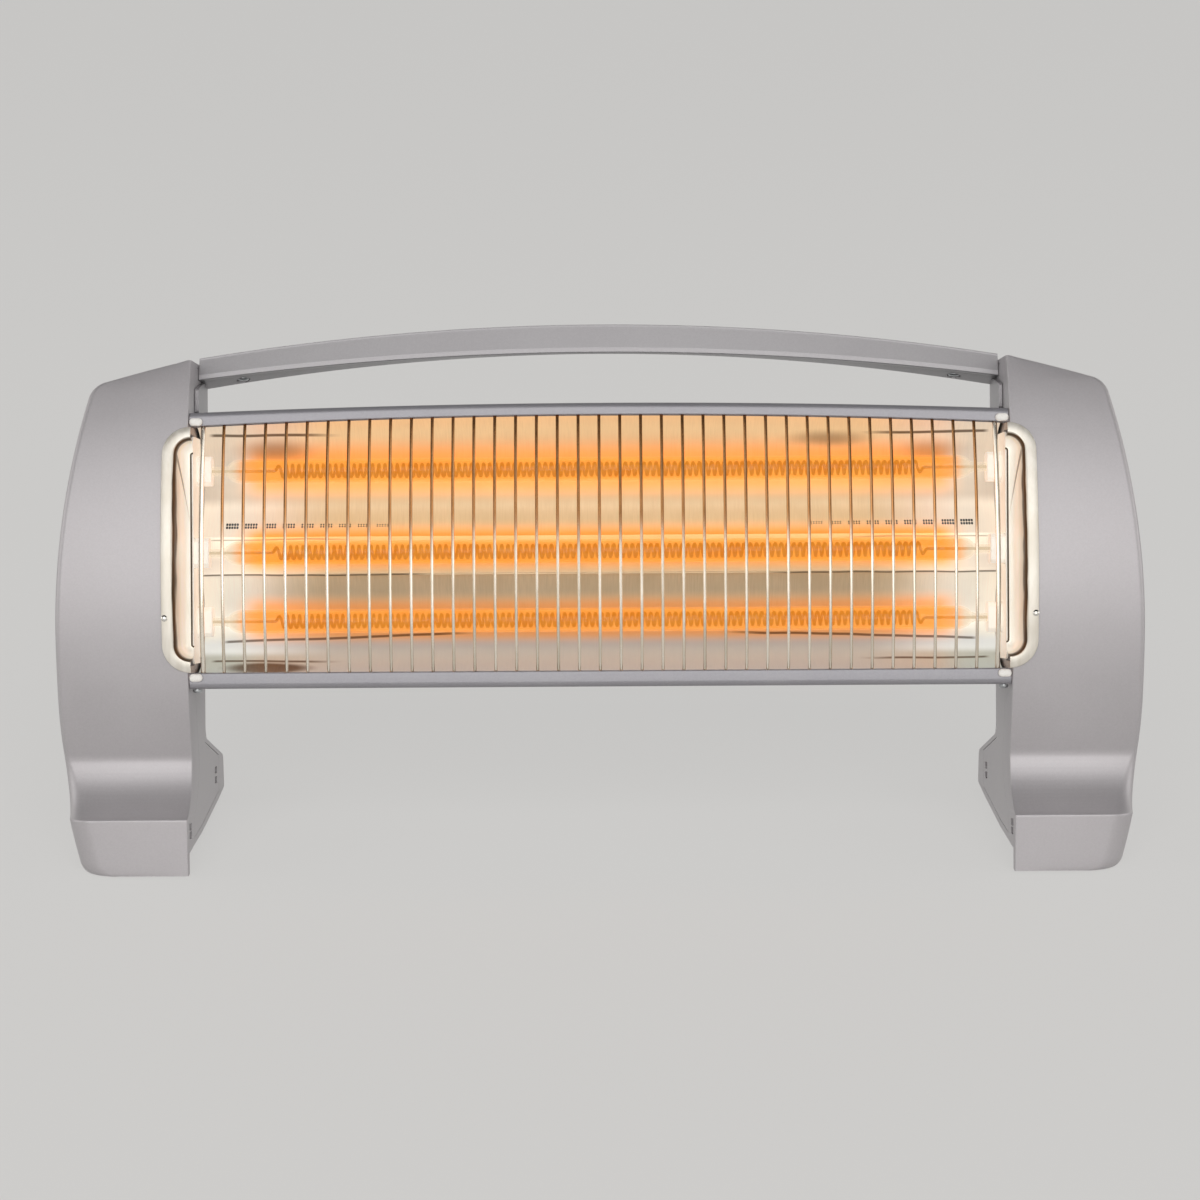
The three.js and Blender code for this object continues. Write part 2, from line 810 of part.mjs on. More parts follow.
// Right rear cover: with the selector's dish, the cable gland's hole and the tip switch's pocket
function rightRearCover() {
  const cup = rod(dishRadius + casingWall, -dishDepth - casingWall, 0, 28, "x", dishCentre);
  const bowl = rod(dishRadius, -dishDepth, overrun, 28, "x", dishCentre);
  const spindleBore = spindleRadius + spindleClearance;
  const spindleHole = rod(spindleBore, -dishDepth - overrun, overrun, 12, "x", dishCentre);
  const glandHole = rod(glandRadius + gap, -casingWall - overrun, overrun, 16, "y", glandSeat());
  const pin = rod(tipRadius + tipClearance, -overrun, tipFlangeHeight, 12, "z", tipFoot());
  const pinHole = moved(pin, floorToFace);
  return rearCover()
    .add(cup.intersect(casing))
    .subtract(bowl)
    .subtract(spindleHole)
    .subtract(glandHole)
    .add(tipRibs())
    .subtract(pinHole);
}

const glandSeat = () => point(glandX, casingBack, glandHeight);
const tipFoot = () => {
  const onFloor = point(tipX, tipDepth, floorLine(tipDepth)).applyMatrix4(faceToFloor);
  return point(onFloor.x, onFloor.y, 0);
};

// Two upright ribs that carry the tip switch's body over the sole
function tipRibs() {
  const foot = tipFoot();
  const depth = tipBodyDepth / 2;
  const [near, far] = [tipBodyWidth / 2 - tipRibWall, tipBodyWidth / 2];
  const plan = (from, to) =>
    rectangle(foot.x + from, foot.y - depth, foot.x + to, foot.y + depth);
  const rib = (from, to) => prism(plan(from, to), "z", 0, tipSpringTop - gap);
  return moved(rib(-far, -near).add(rib(near, far)), floorToFace).intersect(casing);
}

// Every piece on the left is the one on the right, mirrored
const bothSides = [["left", mirrored], ["right", (made) => made]];

for (const [side, place] of bothSides) {
  add(side + "_front_shell", place(frontShell()), "paint");
  add(side + "_inner_panel", place(innerPanel()), "paint");
  add(side + "_rear_cover", place(side === "right" ? rightRearCover() : rearCover()), "paint");
}

// Rails

const railTopLine = (x) => openingTop + topRailHeight + bow(x, railSag);
const railLowerLine = (x) => openingTop + bow(x, railLowerSag);

// A channel's section at a place along it, open towards the guard, its front edge curled round
function railRing(x, open, closed, nearest) {
  const up = Math.sign(closed - open);
  const far = nearest + railDepth;
  const curl = (radius) =>
    range(4).map((i) => {
      const turn = (Math.PI / 2) * (i / 3);
      const y = nearest + railCurl - radius * Math.cos(turn);
      return point(x, y, closed - up * (railCurl - radius * Math.sin(turn)));
    });
  return [
    point(x, nearest, open),
    ...curl(railCurl),
    point(x, far, closed),
    point(x, far, open),
    point(x, far - railSheet, open),
    point(x, far - railSheet, closed - up * railSheet),
    ...curl(railCurl - railSheet).reverse(),
    point(x, nearest + railSheet, open),
  ];
}

const railEnd = casingInner - gap;
const stations = (half, steps) => range(steps + 1).map((i) => half * (2 * (i / steps) - 1));

function topRail() {
  const ring = (x) => railRing(x, railLowerLine(x), railTopLine(x), topRailFront);
  return loft(stations(railEnd, 10).map(ring));
}

const railScrew = point(railScrewX, bottomRailFront + railDepth / 2, openingBottom - bottomRailHeight);

function bottomRail() {
  const low = openingBottom - bottomRailHeight;
  const ring = (x) => railRing(x, openingBottom, low, bottomRailFront);
  const channel = loft(stations(railEnd, 1).map(ring));
  return [-1, 1].reduce((made, side) => {
    const centre = railScrew.clone().setX(side * railScrew.x);
    return made.subtract(rod(railScrewShank + gap, -overrun, railSheet + gap, 8, "z", centre));
  }, channel);
}

function railScrewPiece() {
  const profile = [
    at(0, -railScrewHeight - gap),
    at(railScrewHead * crownShare, -railScrewHeight - gap),
    at(railScrewHead, -gap - railScrewHeight / 2),
    at(railScrewHead, -gap),
    at(railScrewShank, -gap),
    at(railScrewShank, railSheet * 2),
    at(0, railSheet * 2),
  ];
  return revolved(profile, 8, "z", railScrew);
}

// Wire guard: upright wires bowed forward, welded to two flat bars inside the rails

function guardWire(x, radius) {
  const top = point(x, guardTopDepth, railLowerLine(x) + guardBarLift + guardBarHeight / 2);
  const low = point(x, guardBottomDepth, openingBottom - guardBarLift - guardBarHeight / 2);
  const middle = top.clone().add(low).divideScalar(2);
  const pull = point(x, 2 * guardMidDepth - middle.y, middle.z);
  const sides = 5;
  const section = new THREE.Shape(
    range(sides).map((i) => at(radius, 0).rotateAround(at(0, 0), (2 * Math.PI * i) / sides)),
  );
  const extrudePath = new THREE.QuadraticBezierCurve3(low, pull, top);
  return solid(new THREE.ExtrudeGeometry(section, { steps: 5, extrudePath, bevelEnabled: false }));
}

function guardBar(depth, lowEdge, steps) {
  const [near, far] = [depth - guardBarDepth / 2, depth + guardBarDepth / 2];
  return loft(
    stations(guardBarEnd, steps).map((x) =>
      rectangle(near, lowEdge(x), far, lowEdge(x) + guardBarHeight).map((p) => point(x, p.x, p.y)),
    ),
  );
}

function wireGuard() {
  const middle = (wireCount - 1) / 2;
  const bars = guardBar(guardTopDepth, (x) => railLowerLine(x) + guardBarLift, 12).add(
    guardBar(guardBottomDepth, () => openingBottom - guardBarLift - guardBarHeight, 1),
  );
  return range(wireCount).reduce((made, i) => {
    const atEnd = i === 0 || i === wireCount - 1;
    return made.add(guardWire((i - middle) * wirePitch, atEnd ? endWireRadius : wireRadius));
  }, bars);
}

// Oval clip that closes a rail's end over the guard
function guardClip(front, low) {
  const round = (clipHeight / 2) * endRoundShare;
  const oval = roundedRectangle(railEnd - clipWidth, low, railEnd, low + clipHeight, round, 3);
  return prism(oval, "y", front - gap - clipThickness, front - gap);
}

const topClip = () => guardClip(topRailFront, openingTop + gap);
const bottomClip = () => guardClip(bottomRailFront, openingBottom - gap - clipHeight);

// Reflector: one polished sheet with two troughs and a raised strip between them

// Section of the reflector: upper trough, raised strip, lower trough, as (depth, height)
function reflectorLine(x) {
  const high = at(topRailFront + railDepth + gap, railLowerLine(x) + reflectorLap);
  const low = at(bottomRailFront + railDepth + gap, openingBottom - reflectorLap);
  const upper = at(stripDepth, tubeHeight("middle") + stripAbove);
  const lower = at(stripDepth, tubeHeight("middle") - stripBelow);
  const rising = troughCurve(low, lower).getPoints(7).reverse();
  return [...troughCurve(high, upper).getPoints(7), ...rising];
}

function troughCurve(edge, strip) {
  const side = Math.sign(edge.y - strip.y);
  const lip = at(stripDepth + troughLip, edge.y - side * troughLipRise);
  const deep = at(stripDepth + troughDepth, strip.y + side * troughRise);
  return new THREE.CubicBezierCurve(edge, lip, deep, strip);
}

// Section of a bent sheet: a line and the same line moved left by the thickness
function sheetRing(x, line, thickness) {
  return [...line, ...offset(line, -thickness).reverse()].map((p) => point(x, p.x, p.y));
}

function reflector() {
  return loft(stations(reflectorEnd, 6).map((x) => sheetRing(x, reflectorLine(x), reflectorSheet)));
}

// Rear housing: a steel trough round the reflector's back, slotted for the air

function rearHousing() {
  const line = (x) =>
    rounded(
      [
        { x: topRailFront + railDepth + gap * 2, y: railTopLine(x) - housingDrop },
        { x: housingBack, y: railTopLine(x) - housingDrop, r: housingCorner },
        { x: housingBack, y: housingLow, r: housingCorner },
        { x: bottomRailFront + railDepth + gap * 2, y: housingLow },
      ],
      4,
      false,
    );
  let made = loft(stations(railEnd, 6).map((x) => sheetRing(x, line(x), -housingSheet)));
  const middle = (openingTop + openingBottom) / 2;
  const [length, height] = [louvreLength / 2, louvreHeight / 2];
  const round = height * endRoundShare;
  for (const row of range(louvreRows)) {
    for (const column of range(louvreColumns)) {
      const x = (column - (louvreColumns - 1) / 2) * louvrePitchX;
      const z = middle + (row - (louvreRows - 1) / 2) * louvrePitchZ;
      const slot = roundedRectangle(x - length, z - height, x + length, z + height, round, 1);
      made = made.subtract(prism(slot, "y", housingBack - overrun, housingBack + overrun));
    }
  }
  return made;
}

// Bezel: polished cheek with a flat rim, a crease and a hollow wall that runs back to the bracket

function bezelRing(base, out) {
  const rim = (inset) => at(inset, belly(base.z - out.y * inset) - gap - bezelSheet);
  const foot = rim(bezelRim + bezelCrease);
  const back = at(bezelBackInset, bezelBackDepth);
  foot.y += bezelStep;
  const pull = at(foot.x + bezelCrease / 2, back.y - bezelCrease);
  const wall = new THREE.QuadraticBezierCurve(foot, pull, back);
  const line = [rim(0), rim(bezelRim), ...wall.getPoints(4)];
  return [...line, ...offset(line, -bezelSheet).reverse()].map((p) =>
    point(base.x - out.x * p.x, p.y, base.z - out.y * p.x),
  );
}

function bezel() {
  const centreX = bezelOuter - bezelCorner;
  const cornerSteps = 3;
  const edgeSteps = 5;
  const rings = [];
  const turnRound = (z, from) => {
    for (let i = 0; i <= cornerSteps; i++) {
      const out = at(1, 0).rotateAround(at(0, 0), from - (Math.PI / 2) * (i / cornerSteps));
      rings.push(bezelRing(point(centreX + bezelCorner * out.x, 0, z + bezelCorner * out.y), out));
    }
  };
  const [high, low] = [bezelTop - bezelCorner, bezelBottom + bezelCorner];
  turnRound(high, Math.PI / 2);
  for (let i = 1; i < edgeSteps; i++) {
    const z = THREE.MathUtils.lerp(high, low, i / edgeSteps);
    rings.push(bezelRing(point(bezelOuter, 0, z), at(1, 0)));
  }
  turnRound(low, 0);
  return loft(rings).subtract(rod(rivetShank + gap, -overrun, overrun, 8, "y", rivetSeat()));
}

function bezelRivet() {
  const seat = -gap - bezelSheet - gap;
  const profile = [
    at(0, seat - rivetHeight),
    at(rivetRadius * crownShare, seat - rivetHeight),
    at(rivetRadius, seat),
    at(rivetShank, seat),
    at(rivetShank, casingWall),
    at(0, casingWall),
  ];
  return revolved(profile, 10, "y", rivetSeat());
}

// Heating elements

const levels = ["top", "middle", "bottom"];
const tubeCentre = (level) => point(0, tubeDepths[level], tubeHeight(level));

// Quartz tube with round shoulders and necks, open from end to end, and the exhaust's sealed tip
function quartzTube(level) {
  const shoulder = tubeBody + shoulderLength;
  const bore = tubeRadius - tubeWall;
  const crown = (radius, share) => {
    const turn = (Math.PI / 2) * share;
    const length = shoulderLength - tubeRadius + radius;
    return at(radius * Math.cos(turn), tubeBody + length * Math.sin(turn));
  };
  const half = [
    at(tubeRadius, tubeBody),
    crown(tubeRadius, 1 / 3),
    crown(tubeRadius, 2 / 3),
    at(neckRadius, shoulder),
    at(neckRadius, tubeNeck),
    at(neckBore, tubeNeck),
    at(neckBore, shoulder),
    crown(bore, 1 / 2),
    at(bore, tubeBody),
  ];
  const profile = [...half, ...half.map((p) => at(p.x, -p.y)).reverse(), half[0]];
  const centre = tubeCentre(level);
  const nib = revolved(
    [at(0, -nibHeight), at(nibRadius, 0), at(nibRadius, tubeWall / 2), at(0, tubeWall / 2)],
    6,
    "y",
    centre.clone().add(point(nibPlace, -tubeRadius, 0)),
  );
  return revolved(profile, 10, "x", centre).add(nib);
}

// Centre line of a filament: straight leads on the tube's axis, a swing out and an even helix
function filamentPoints(level) {
  const centre = tubeCentre(level);
  const turns = filamentCurls * curlSteps;
  const coil = range(turns + 1).map((i) => {
    const turn = (2 * Math.PI * i) / curlSteps;
    const x = filamentCoil * (2 * (i / turns) - 1);
    return point(x, filamentRadius * Math.cos(turn), filamentRadius * Math.sin(turn));
  });
  const swing = filamentRadius * 2;
  const lead = (side) => [
    point(side * filamentLead, 0, 0),
    point(side * (filamentCoil + swing * 3), 0, 0),
    point(side * (filamentCoil + swing * 2), 0, 0),
    point(side * (filamentCoil + swing), filamentRadius / 2, (filamentRadius * side) / 2),
  ];
  return [...lead(-1), ...coil, ...lead(1).reverse()].map((p) => p.add(centre));
}

// Least distance between a wire's surface and itself, leaving out what lies within half a curl along it
function leastGap(points, radius, skip) {
  let least = Infinity;
  points.forEach((p, i) => {
    for (let j = i + skip; j < points.length; j++) least = Math.min(least, p.distanceTo(points[j]));
  });
  return least - 2 * radius;
}

function filament(level) {
  const points = filamentPoints(level);
  const least = leastGap(points, filamentWire, curlSteps / 2);
  console.log("filament_" + level, "least gap to itself", least.toFixed(2));
  return wound(points, filamentWire, wireSides);
}

// Ceramic cap: a block with a socket for the tube's neck and a fine bore for the lead
function ceramicCap(level) {
  const centre = tubeCentre(level);
  const [y, z] = [capDepth / 2, capHeight / 2];
  const block = roundedRectangle(centre.y - y, centre.z - z, centre.y + y, centre.z + z, capCorner, 1);
  return prism(block, "x", capFront, capRear)
    .subtract(rod(neckRadius + gap, capFront - overrun, tubeNeck + gap, 10, "x", centre))
    .subtract(rod(neckBore, tubeNeck, capRear + overrun, 6, "x", centre));
}

// Element bracket: steel plate at the reflector's end with a window for each ceramic cap
function elementBracket() {
  const plate = roundedRectangle(bracketFront, bracketBottom, bracketRear, bracketTop, bracketCorner, 3);
  const windows = levels.map((level) => {
    const centre = tubeCentre(level);
    const [y, z] = [capDepth / 2 + gap, capHeight / 2 + gap];
    return rectangle(centre.y - y, centre.z - z, centre.y + y, centre.z + z);
  });
  return prism(plate, "x", railEnd - bracketSheet, railEnd, windows);
}

// Handle: two half shells that follow one arch, the rear one turned down at its ends

const handleTopLine = (x) => handleTop - handleTopSag * (x / casingInner) ** 2;
const handleFaceLine = (x) => handleTop - handleFaceHeight - handleFaceSag * (x / casingInner) ** 2;
const handleRearLine = (x) => handleTop - handleRearDrop - handleHang * (x / casingInner) ** 2;

function handleFrontRing(x) {
  const [top, low] = [handleTopLine(x), handleFaceLine(x)];
  const line = [
    at(handleSplit, top),
    at(handleFront + handleEdge, top),
    at(handleFront, top - handleEdge),
    at(handleFront, low + handleChamfer),
    at(handleFront + handleChamfer, low),
    at(handleSplit, low),
  ];
  return sheetRing(x, line, handleWall);
}

function handleRearRing(x) {
  const [top, near, low] = [handleTopLine(x), handleFaceLine(x), handleRearLine(x)];
  const split = handleSplit + gap;
  const line = [
    at(split, near),
    at(handleBack - handleEdge, low),
    at(handleBack, low + handleEdge),
    at(handleBack, top - handleEdge),
    at(handleBack - handleEdge, top),
    at(split, top),
  ];
  return sheetRing(x, line, handleWall);
}

const handleFrontHalf = () => loft(stations(railEnd, 12).map(handleFrontRing));

// Side plate that turns the rear half down along the casing
function handleLug(side) {
  const end = handleRearLine(casingInner);
  const face = handleFaceLine(casingInner) - handleWall / 2;
  const plate = [
    at(lugFront, lugBottom),
    at(handleBack, lugBottom),
    at(handleBack, end + handleWall),
    at(handleSplit + gap * 2, face),
    at(handleFront, face - handleEdge),
    at(lugFront, end - handleEdge),
  ];
  const near = side > 0 ? railEnd - lugThickness : -railEnd;
  return prism(plate, "x", near, near + lugThickness);
}

// Boss for a handle screw, from the underside's wall up to the roof's wall
function handleBoss(side) {
  const seat = handleScrewSeat(side);
  const from = handleFaceLine(handleScrewX) + gap;
  const to = handleTopLine(handleScrewX) - handleWall / 2;
  const inside = rectangle(handleSplit + gap, lugBottom, handleBack - handleWall / 2, handleTop);
  return rod(screwHead + handleWall / 2, from - seat.z, to - seat.z, 12, "z", seat).intersect(
    prism(inside, "x", seat.x - overrun, seat.x + overrun),
  );
}

function handleRearHalf() {
  let made = loft(stations(railEnd, 12).map(handleRearRing));
  for (const side of [-1, 1]) {
    const seat = handleScrewSeat(side);
    made = made
      .add(handleLug(side))
      .add(handleBoss(side))
      .subtract(rod(screwHead + gap, -overrun, handleScrewDepth, 12, "z", seat))
      .subtract(rod(screwShank + gap, 0, handleScrewDepth + screwLength, 8, "z", seat));
  }
  return made;
}

const handleScrewSeat = (side) =>
  point(side * handleScrewX, (handleSplit + handleBack) / 2, handleRearLine(handleScrewX));

function screw(axis, centre, turned = 1) {
  const profile = [
    at(0, -screwHeadHeight),
    at(screwHead * crownShare, -screwHeadHeight),
    at(screwHead, -screwHeadHeight / 2),
    at(screwHead, 0),
    at(screwShank, 0),
    at(screwShank, screwLength - gap),
    at(0, screwLength - gap),
  ].map((p) => at(p.x, turned * p.y));
  if (turned < 0) profile.reverse();
  return revolved(profile, 8, axis, centre);
}

function handleScrew() {
  return screw("z", handleScrewSeat(1).add(point(0, 0, handleScrewDepth - gap)));
}

// Selector: knob in the dish, spindle and rotary switch

function selectorKnob() {
  const rim = range(knobFlutes * 2).map((i) => {
    const radius = i % 2 ? knobRadius : knobRadius - knobFluteDepth;
    const out = at(radius, 0).rotateAround(at(0, 0), (Math.PI * i) / knobFlutes);
    return out.add(at(dishCentre.y, dishCentre.z));
  });
  const from = dishFloor + gap * 2;
  const ridge = rectangle(
    dishCentre.y - knobRidge / 2,
    dishCentre.z - knobRadius * ridgeTailShare,
    dishCentre.y + knobRidge / 2,
    dishCentre.z + knobRadius * ridgeTipShare,
  );
  const bore = rod(spindleRadius + gap, dishFloor - overrun, spindleEnd + gap, 12, "x", onSelector(0));
  return prism(rim, "x", from, from + knobLength - knobRidgeHeight)
    .add(prism(ridge, "x", from, from + knobLength))
    .subtract(bore);
}

const onSelector = (x) => point(x, dishCentre.y, dishCentre.z);
const spindleEnd = dishFloor + knobLength * spindleShare;
const switchFront = dishFloor - casingWall - gap;

const spindleStart = switchFront - switchLength / 2;

const spindle = () => rod(spindleRadius, spindleStart, spindleEnd, 12, "x", onSelector(0));

function rotarySwitch() {
  const half = switchSize / 2;
  const { y, z } = dishCentre;
  const box = rectangle(y - half, z - half, y + half, z + half);
  const bore = rod(spindleRadius + gap, spindleStart - gap, switchFront + overrun, 12, "x", onSelector(0));
  return prism(box, "x", switchFront - switchLength, switchFront).subtract(bore);
}

// Tip-over switch: plunger that the floor holds in, its spring and the switch body, all upright

const upright = (made) => moved(made, floorToFace);

function tipPlunger() {
  const profile = [
    at(0, 0),
    at(tipRadius - tipClearance, 0),
    at(tipRadius, tipClearance),
    at(tipRadius, tipFlangeHeight),
    at(tipFlangeRadius, tipFlangeHeight),
    at(tipFlangeRadius, tipFlangeHeight + tipFlangeThickness),
    at(tipStemRadius, tipFlangeHeight + tipFlangeThickness),
    at(tipStemRadius, tipSpringTop + tipTravel),
    at(0, tipSpringTop + tipTravel),
  ];
  return upright(revolved(profile, 14, "z", tipFoot()));
}

function tipSpring() {
  const low = tipFlangeHeight + tipFlangeThickness + gap + tipSpringWire;
  const high = tipSpringTop - gap - tipSpringWire;
  const turns = tipSpringCurls * curlSteps;
  const points = range(turns + 1).map((i) => {
    const turn = (2 * Math.PI * i) / curlSteps;
    const place = at(tipSpringRadius, 0).rotateAround(at(0, 0), turn);
    return point(place.x, place.y, THREE.MathUtils.lerp(low, high, i / turns)).add(tipFoot());
  });
  const least = leastGap(points, tipSpringWire, curlSteps / 2);
  console.log("tip_spring least gap to itself", least.toFixed(2));
  return upright(wound(points, tipSpringWire, wireSides));
}

function tipBody() {
  const foot = tipFoot();
  const [x, y] = [tipBodyWidth / 2, tipBodyDepth / 2];
  const box = roundedRectangle(foot.x - x, foot.y - y, foot.x + x, foot.y + y, tipRibWall, 1);
  const mouth = foot.clone().setZ(tipSpringTop);
  const bore = rod(tipStemRadius + tipClearance, -overrun, tipTravel * 2, 10, "z", mouth);
  return upright(prism(box, "z", tipSpringTop, tipSpringTop + tipBodyHeight).subtract(bore));
}

// Fittings inside the right casing

function terminalBlock() {
  const back = casingBack - casingWall - gap;
  const pitch = blockWidth / blockWays;
  const box = rectangle(blockX, blockZ, blockX + blockWidth, blockZ + blockHeight);
  return range(blockWays).reduce((made, i) => {
    const mouth = point(blockX + pitch * (i + 1 / 2), back - blockDepth, blockZ + blockHeight / 2);
    return made.subtract(rod(pitch * blockBoreShare, -overrun, blockDepth / 2, 8, "y", mouth));
  }, prism(box, "y", back - blockDepth, back));
}

// Thermal cut-out: disc on a plate with two ears, against the inner panel
function thermalCutout() {
  const centre = point(casingInner + casingWall + gap, cutoutDepth, cutoutZ);
  const [y, z] = [cutoutRadius / 2, cutoutRadius * cutoutEarShare];
  const plate = rectangle(centre.y - y, centre.z - z, centre.y + y, centre.z + z);
  return rod(cutoutRadius, 0, cutoutHeight, 14, "x", centre).add(
    prism(plate, "x", centre.x, centre.x + cutoutPlate),
  );
}

function cableGland() {
  const profile = [
    at(glandBore, -glandLength),
    at(glandRadius, -glandLength),
    at(glandRadius, gap),
    at(glandFlange, gap),
    at(glandFlange, gap + glandRim / 2),
    at(glandFlange * glandCrownShare, gap + glandRim),
    at(glandBore, gap + glandRim),
    at(glandBore, -glandLength),
  ];
  return revolved(profile, 16, "y", glandSeat());
}

// Rubber pads, flat on the floor line, seated under the toe and the heel

function pad(near, far, roof) {
  const side = [
    at(near, floorLine(near)),
    at(far, floorLine(far)),
    at(far, roof(far) - gap),
    at(near, roof(near) - gap),
  ];
  return prism(side, "x", casingInner + padInset, casingInner + padInset + padWidth);
}

const heelRoof = (y) =>
  THREE.MathUtils.mapLinear(y, archRear, heelDepth, archRearHeight, heelBottom);
const frontPad = () => pad(toeLip + gap, toeBlock - gap, archRoof);
const rearPad = () => pad(heelDepth - padInset * 3, heelDepth - rearEdgeRadius / 2, heelRoof);

add("rear_housing", rearHousing(), "zinc");
add("reflector", reflector(), "polished");
add("top_rail", topRail(), "railPaint");
add("bottom_rail", bottomRail(), "railPaint");
add("wire_guard", wireGuard(), "chrome");
add("handle_front", handleFrontHalf(), "handlePaint");
add("handle_rear", handleRearHalf(), "handlePaint");
for (const level of levels) {
  add("quartz_tube_" + level, quartzTube(level), "quartz");
  add("filament_" + level, filament(level), "glow");
}
for (const [side, place] of bothSides) {
  add(side + "_bezel", place(bezel()), "polished");
  add(side + "_bezel_rivet", place(bezelRivet()), "zinc");
  add(side + "_element_bracket", place(elementBracket()), "zinc");
  for (const level of levels) {
    add(side + "_ceramic_cap_" + level, place(ceramicCap(level)), "ceramic");
  }
  add(side + "_clip_top", place(topClip()), "chrome");
  add(side + "_clip_bottom", place(bottomClip()), "chrome");
  add(side + "_front_pad", place(frontPad()), "rubber");
  add(side + "_rear_pad", place(rearPad()), "rubber");
  for (const [level, spot] of Object.entries(coverScrews)) {
    add(side + "_cover_screw_" + level, place(screw("y", onCoverBack(spot, gap), -1)), "zinc");
  }
  add(side + "_handle_screw", place(handleScrew()), "zinc");
  add(side + "_rail_screw", place(railScrewPiece()), "zinc");
}
add("selector_knob", selectorKnob(), "knob");
add("selector_spindle", spindle(), "zinc");
add("rotary_switch", rotarySwitch(), "dark");
add("tip_switch_body", tipBody(), "dark");
add("tip_plunger", tipPlunger(), "dark");
add("tip_spring", tipSpring(), "zinc");
add("terminal_block", terminalBlock(), "ceramic");
add("thermal_cutout", thermalCutout(), "dark");
add("cable_gland", cableGland(), "dark");

const heater = new THREE.Group();
heater.add(face);
face.position.z = -toeFloor * Math.cos(lean);

// The part's own origin lies on the floor, under the middle of the whole
heater.updateMatrixWorld(true);
face.position.y = -new THREE.Box3().setFromObject(heater, true).getCenter(point(0, 0, 0)).y;

export default heater;
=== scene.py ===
"""Looks of a carbon heater: two painted casings, a lit reflector behind a wire guard, and a bowed handle."""

import math
from contextlib import contextmanager
from itertools import product

import bmesh
import bpy
from mathutils import Matrix, Vector


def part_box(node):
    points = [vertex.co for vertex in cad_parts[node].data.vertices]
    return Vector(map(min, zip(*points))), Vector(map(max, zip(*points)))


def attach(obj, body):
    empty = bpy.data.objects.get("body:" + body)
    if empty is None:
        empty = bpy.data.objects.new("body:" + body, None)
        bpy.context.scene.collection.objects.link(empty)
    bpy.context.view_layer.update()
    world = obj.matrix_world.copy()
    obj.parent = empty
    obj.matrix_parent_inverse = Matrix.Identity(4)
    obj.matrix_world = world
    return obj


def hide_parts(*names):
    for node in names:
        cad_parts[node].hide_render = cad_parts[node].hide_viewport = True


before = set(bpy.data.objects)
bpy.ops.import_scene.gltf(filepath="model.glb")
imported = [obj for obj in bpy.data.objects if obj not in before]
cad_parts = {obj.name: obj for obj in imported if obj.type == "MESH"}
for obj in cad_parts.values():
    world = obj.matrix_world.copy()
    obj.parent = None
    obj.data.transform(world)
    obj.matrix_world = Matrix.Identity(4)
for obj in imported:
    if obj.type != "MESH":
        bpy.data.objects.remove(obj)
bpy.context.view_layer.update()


# Front shells: the faces of both casings, ABS from a polished tool under a satin metallic paint.
# Each is a 2.5 mm skin that follows the belly, the valley and the toe, and ends at a seam 24 mm back.

LEAN = math.radians(14)
TOE_FLOOR = -137.9
KNOB_DEPTH, KNOB_HEIGHT = 43.5, 20
SCALE = 0.001

spindle = sum(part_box("selector_spindle"), Vector()) / 2
depth_shift = spindle.y - (KNOB_DEPTH * math.cos(LEAN) + KNOB_HEIGHT * math.sin(LEAN)) * SCALE
FACE = (
    Matrix.Translation((0, depth_shift, -TOE_FLOOR * math.cos(LEAN) * SCALE))
    @ Matrix.Rotation(-LEAN, 4, "X")
    @ Matrix.Scale(SCALE, 4)
)

GAP = 0.3
OVERRUN = 6
WALL = 2.5
HALF_WIDTH = 272.75
CASING_INNER = 206.5
CASING_TOP, CASING_BOTTOM = 123.3, -136.8
TOP_LAND = 2
TOP_SLOPE, TOP_RADIUS = 0.245, 800
WIDEST_TOP, WIDEST_BOTTOM = -23, -49
UPPER_SIDE_RADIUS, LOWER_SIDE_RADIUS = 530, 320
SHOULDER_RADIUS, SOLE_RADIUS = 11, 9
CASING_BACK = 66
SHELL_DEPTH = 24
BELLY_RADIUS, BELLY_HEIGHT, BELLY_PROUD = 250, 18, 3.5
VALLEY_HEIGHT, VALLEY_ROUND = -79, 11
TOE_TOP, TOE_ROUND = -108.5, 1.3
TOE_CORNER, EDGE_RADIUS, BACK_EDGE_RADIUS, INNER_EDGE_RADIUS = 12, 3, 5, 1
TOE_BLOCK, TOE_LIP, TOE_REACH = 18, 4, 3.2
FLARE_TOP, FLARE_BOTTOM, FLARE_DEPTH, HEEL_ROUNDS = -70.6, -83, 135.9, (8, 5, 2)
HEEL_DEPTH, HEEL_BOTTOM, HEEL_BAND = 139.8, -100.5, 20
ARCH_REAR, ARCH_REAR_HEIGHT = 112, -106.8
ARCH_FRONT, ARCH_FRONT_HEIGHT, ARCH_LIP_HEIGHT = 51.6, -118.6, -125.6
SOLE_BAND, SOLE_CLEARANCE = 4, 1
OPENING_TOP, OPENING_BOTTOM = 88.5, -35.5
BEZEL_OUTER, BEZEL_CORNER, BEZEL_LAP = 219, 14, 3
BEZEL_TOP, BEZEL_BOTTOM = OPENING_TOP - GAP, OPENING_BOTTOM + GAP
RIVET_X, RIVET_HEIGHT = BEZEL_OUTER - 1.5, -7.8
SNAP_DEPTH, SNAP_HEIGHT = 8.5, 3.6
TOE_SNAPS = (-111, -115.2)
STEP = 2.5


def arc_drop(run, radius):
    return radius - math.sqrt(radius * radius - run * run)


def top_edge(x):
    run = x - CASING_INNER
    return CASING_TOP - TOP_SLOPE * run - run * run / (2 * TOP_RADIUS)


def side_edge(z):
    upper = arc_drop(max(z - WIDEST_TOP, 0), UPPER_SIDE_RADIUS)
    lower = arc_drop(max(WIDEST_BOTTOM - z, 0), LOWER_SIDE_RADIUS)
    return HALF_WIDTH - upper - lower


def belly(z):
    return arc_drop(z - BELLY_HEIGHT, BELLY_RADIUS) - BELLY_PROUD


